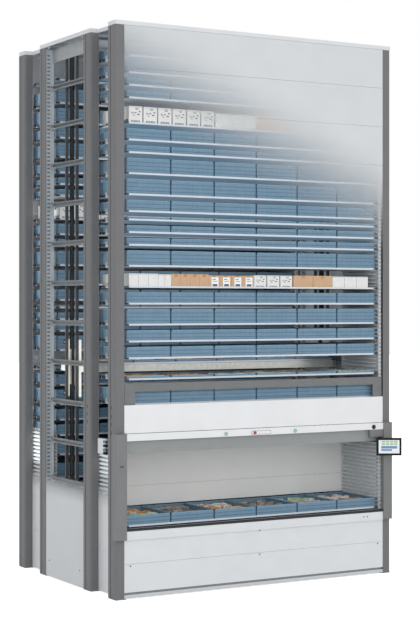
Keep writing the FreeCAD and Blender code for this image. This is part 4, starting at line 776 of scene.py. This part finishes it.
marks = Mesh()
marks.ring((-0.1195, 0.1195), (1.5955, 1.6335), 0.009, 0.004, (-1.2477, -1.2468), 1)
for n in range(4):
    x = -0.030 + 0.030 * n
    marks.box((x, x + 0.016), (-1.2475, -1.2468), (1.613, 1.617), 0)
marks.make("label_marks", [grey_plastic, label_line], "cabinet")


# Terminal box on the left

box = Mesh()
x0, x1 = at(0.047, 0)[0], at(0.091, 0)[0]
y0 = at(0, 0.300)[1]
for n, z in enumerate((1.560, 1.520, 1.478, 1.446)):
    box.box((x0 - 0.020, x0 + 0.002), (y0 - 0.018, y0 + 0.040), (z - 0.013, z + 0.013), 0 if n % 2 else 1)
    box.disc(1, ((x0 + x1) / 2, z), 0.011, (y0 - 0.034, y0 + 0.002), 0, 20)
box.make("terminal_plugs", [black_plastic, plug_teal], "cabinet", bevel=0.002)


# Touch panel's screen: plain blocks in two colours

PIVOT = (1.540, -1.232)


def panel_point(x, y, z):
    """A place on the panel, from the arm's pivot, turned as the panel is."""
    turn = math.radians(-29.93)
    return (PIVOT[0] + x * math.cos(turn) - y * math.sin(turn),
            PIVOT[1] + x * math.sin(turn) + y * math.cos(turn), z)


def panel_block(mesh, x, y, z, slot):
    corners = [panel_point(a, b, c) for a in x for b in y for c in z]
    mesh.add(corners, BOX_FACES, slot)


screen = Mesh()
face = -0.062 - 0.026 - 0.034
mid_x, mid_z = 0.089, 1.405
inlay = (face + 0.0008, face + 0.0014)
panel_block(screen, (mid_x - 0.1135, mid_x + 0.1135), (face + 0.0012, face + 0.0022),
            (mid_z - 0.0725, mid_z + 0.0725), 0)
for row in range(2):
    for column in range(4):
        x = mid_x - 0.080 + column * 0.044
        z = mid_z + 0.018 + row * 0.026
        panel_block(screen, (x, x + 0.038), inlay, (z, z + 0.021), 1)
panel_block(screen, (mid_x - 0.085, mid_x + 0.088), inlay, (mid_z - 0.020, mid_z + 0.008), 2)
panel_block(screen, (mid_x - 0.085, mid_x + 0.030), inlay, (mid_z - 0.046, mid_z - 0.026), 2)
panel_block(screen, (mid_x + 0.040, mid_x + 0.088), inlay, (mid_z - 0.046, mid_z - 0.026), 0)
screen.make("panel_screen", [screen_white, screen_green, screen_blue], "operator_panel")


# Bolts on the lips of the braces

bolts = Mesh()
for n in range(13):
    z = 0.217 + n * 10 * PITCH - 0.0205
    for side in (-1, 1):
        lip = side * (WIDTH / 2 - 0.046)
        for y in (-0.425, -0.385, -0.345, 0.345, 0.385, 0.425):
            bolts.disc(0, (y, z), 0.0062, sorted((lip - side * 0.001, lip + side * 0.0025)), 0, 16)
bolts.make("frame_bolts", [zinc_bolt], "cabinet")


# Floor

floor_mesh = bpy.data.meshes.new("floor")
floor_mesh.from_pydata([(-60, -60, -0.0005), (60, -60, -0.0005), (60, 60, -0.0005), (-60, 60, -0.0005)], [],
                       [(0, 1, 2, 3)])
floor = bpy.data.objects.new("floor", floor_mesh)
scene.collection.objects.link(floor)
floor_paint = bpy.data.materials.new("floor_paint")
tree = nodes_of(floor_paint)
matt = tree.nodes.new("ShaderNodeBsdfDiffuse")
matt.inputs["Color"].default_value = (0.86, 0.86, 0.86, 1)
lift = tree.nodes.new("ShaderNodeEmission")
lift.inputs["Color"].default_value = (1, 1, 1, 1)
lift.inputs["Strength"].default_value = 0.7
both = tree.nodes.new("ShaderNodeAddShader")
choose = tree.nodes.new("ShaderNodeMixShader")
output = tree.nodes.new("ShaderNodeOutputMaterial")
link(tree, (matt.outputs[0], both.inputs[0]), (lift.outputs[0], both.inputs[1]),
     (background_ray(tree), choose.inputs[0]), (matt.outputs[0], choose.inputs[1]),
     (both.outputs[0], choose.inputs[2]), (choose.outputs[0], output.inputs["Surface"]))
floor_mesh.materials.append(floor_paint)
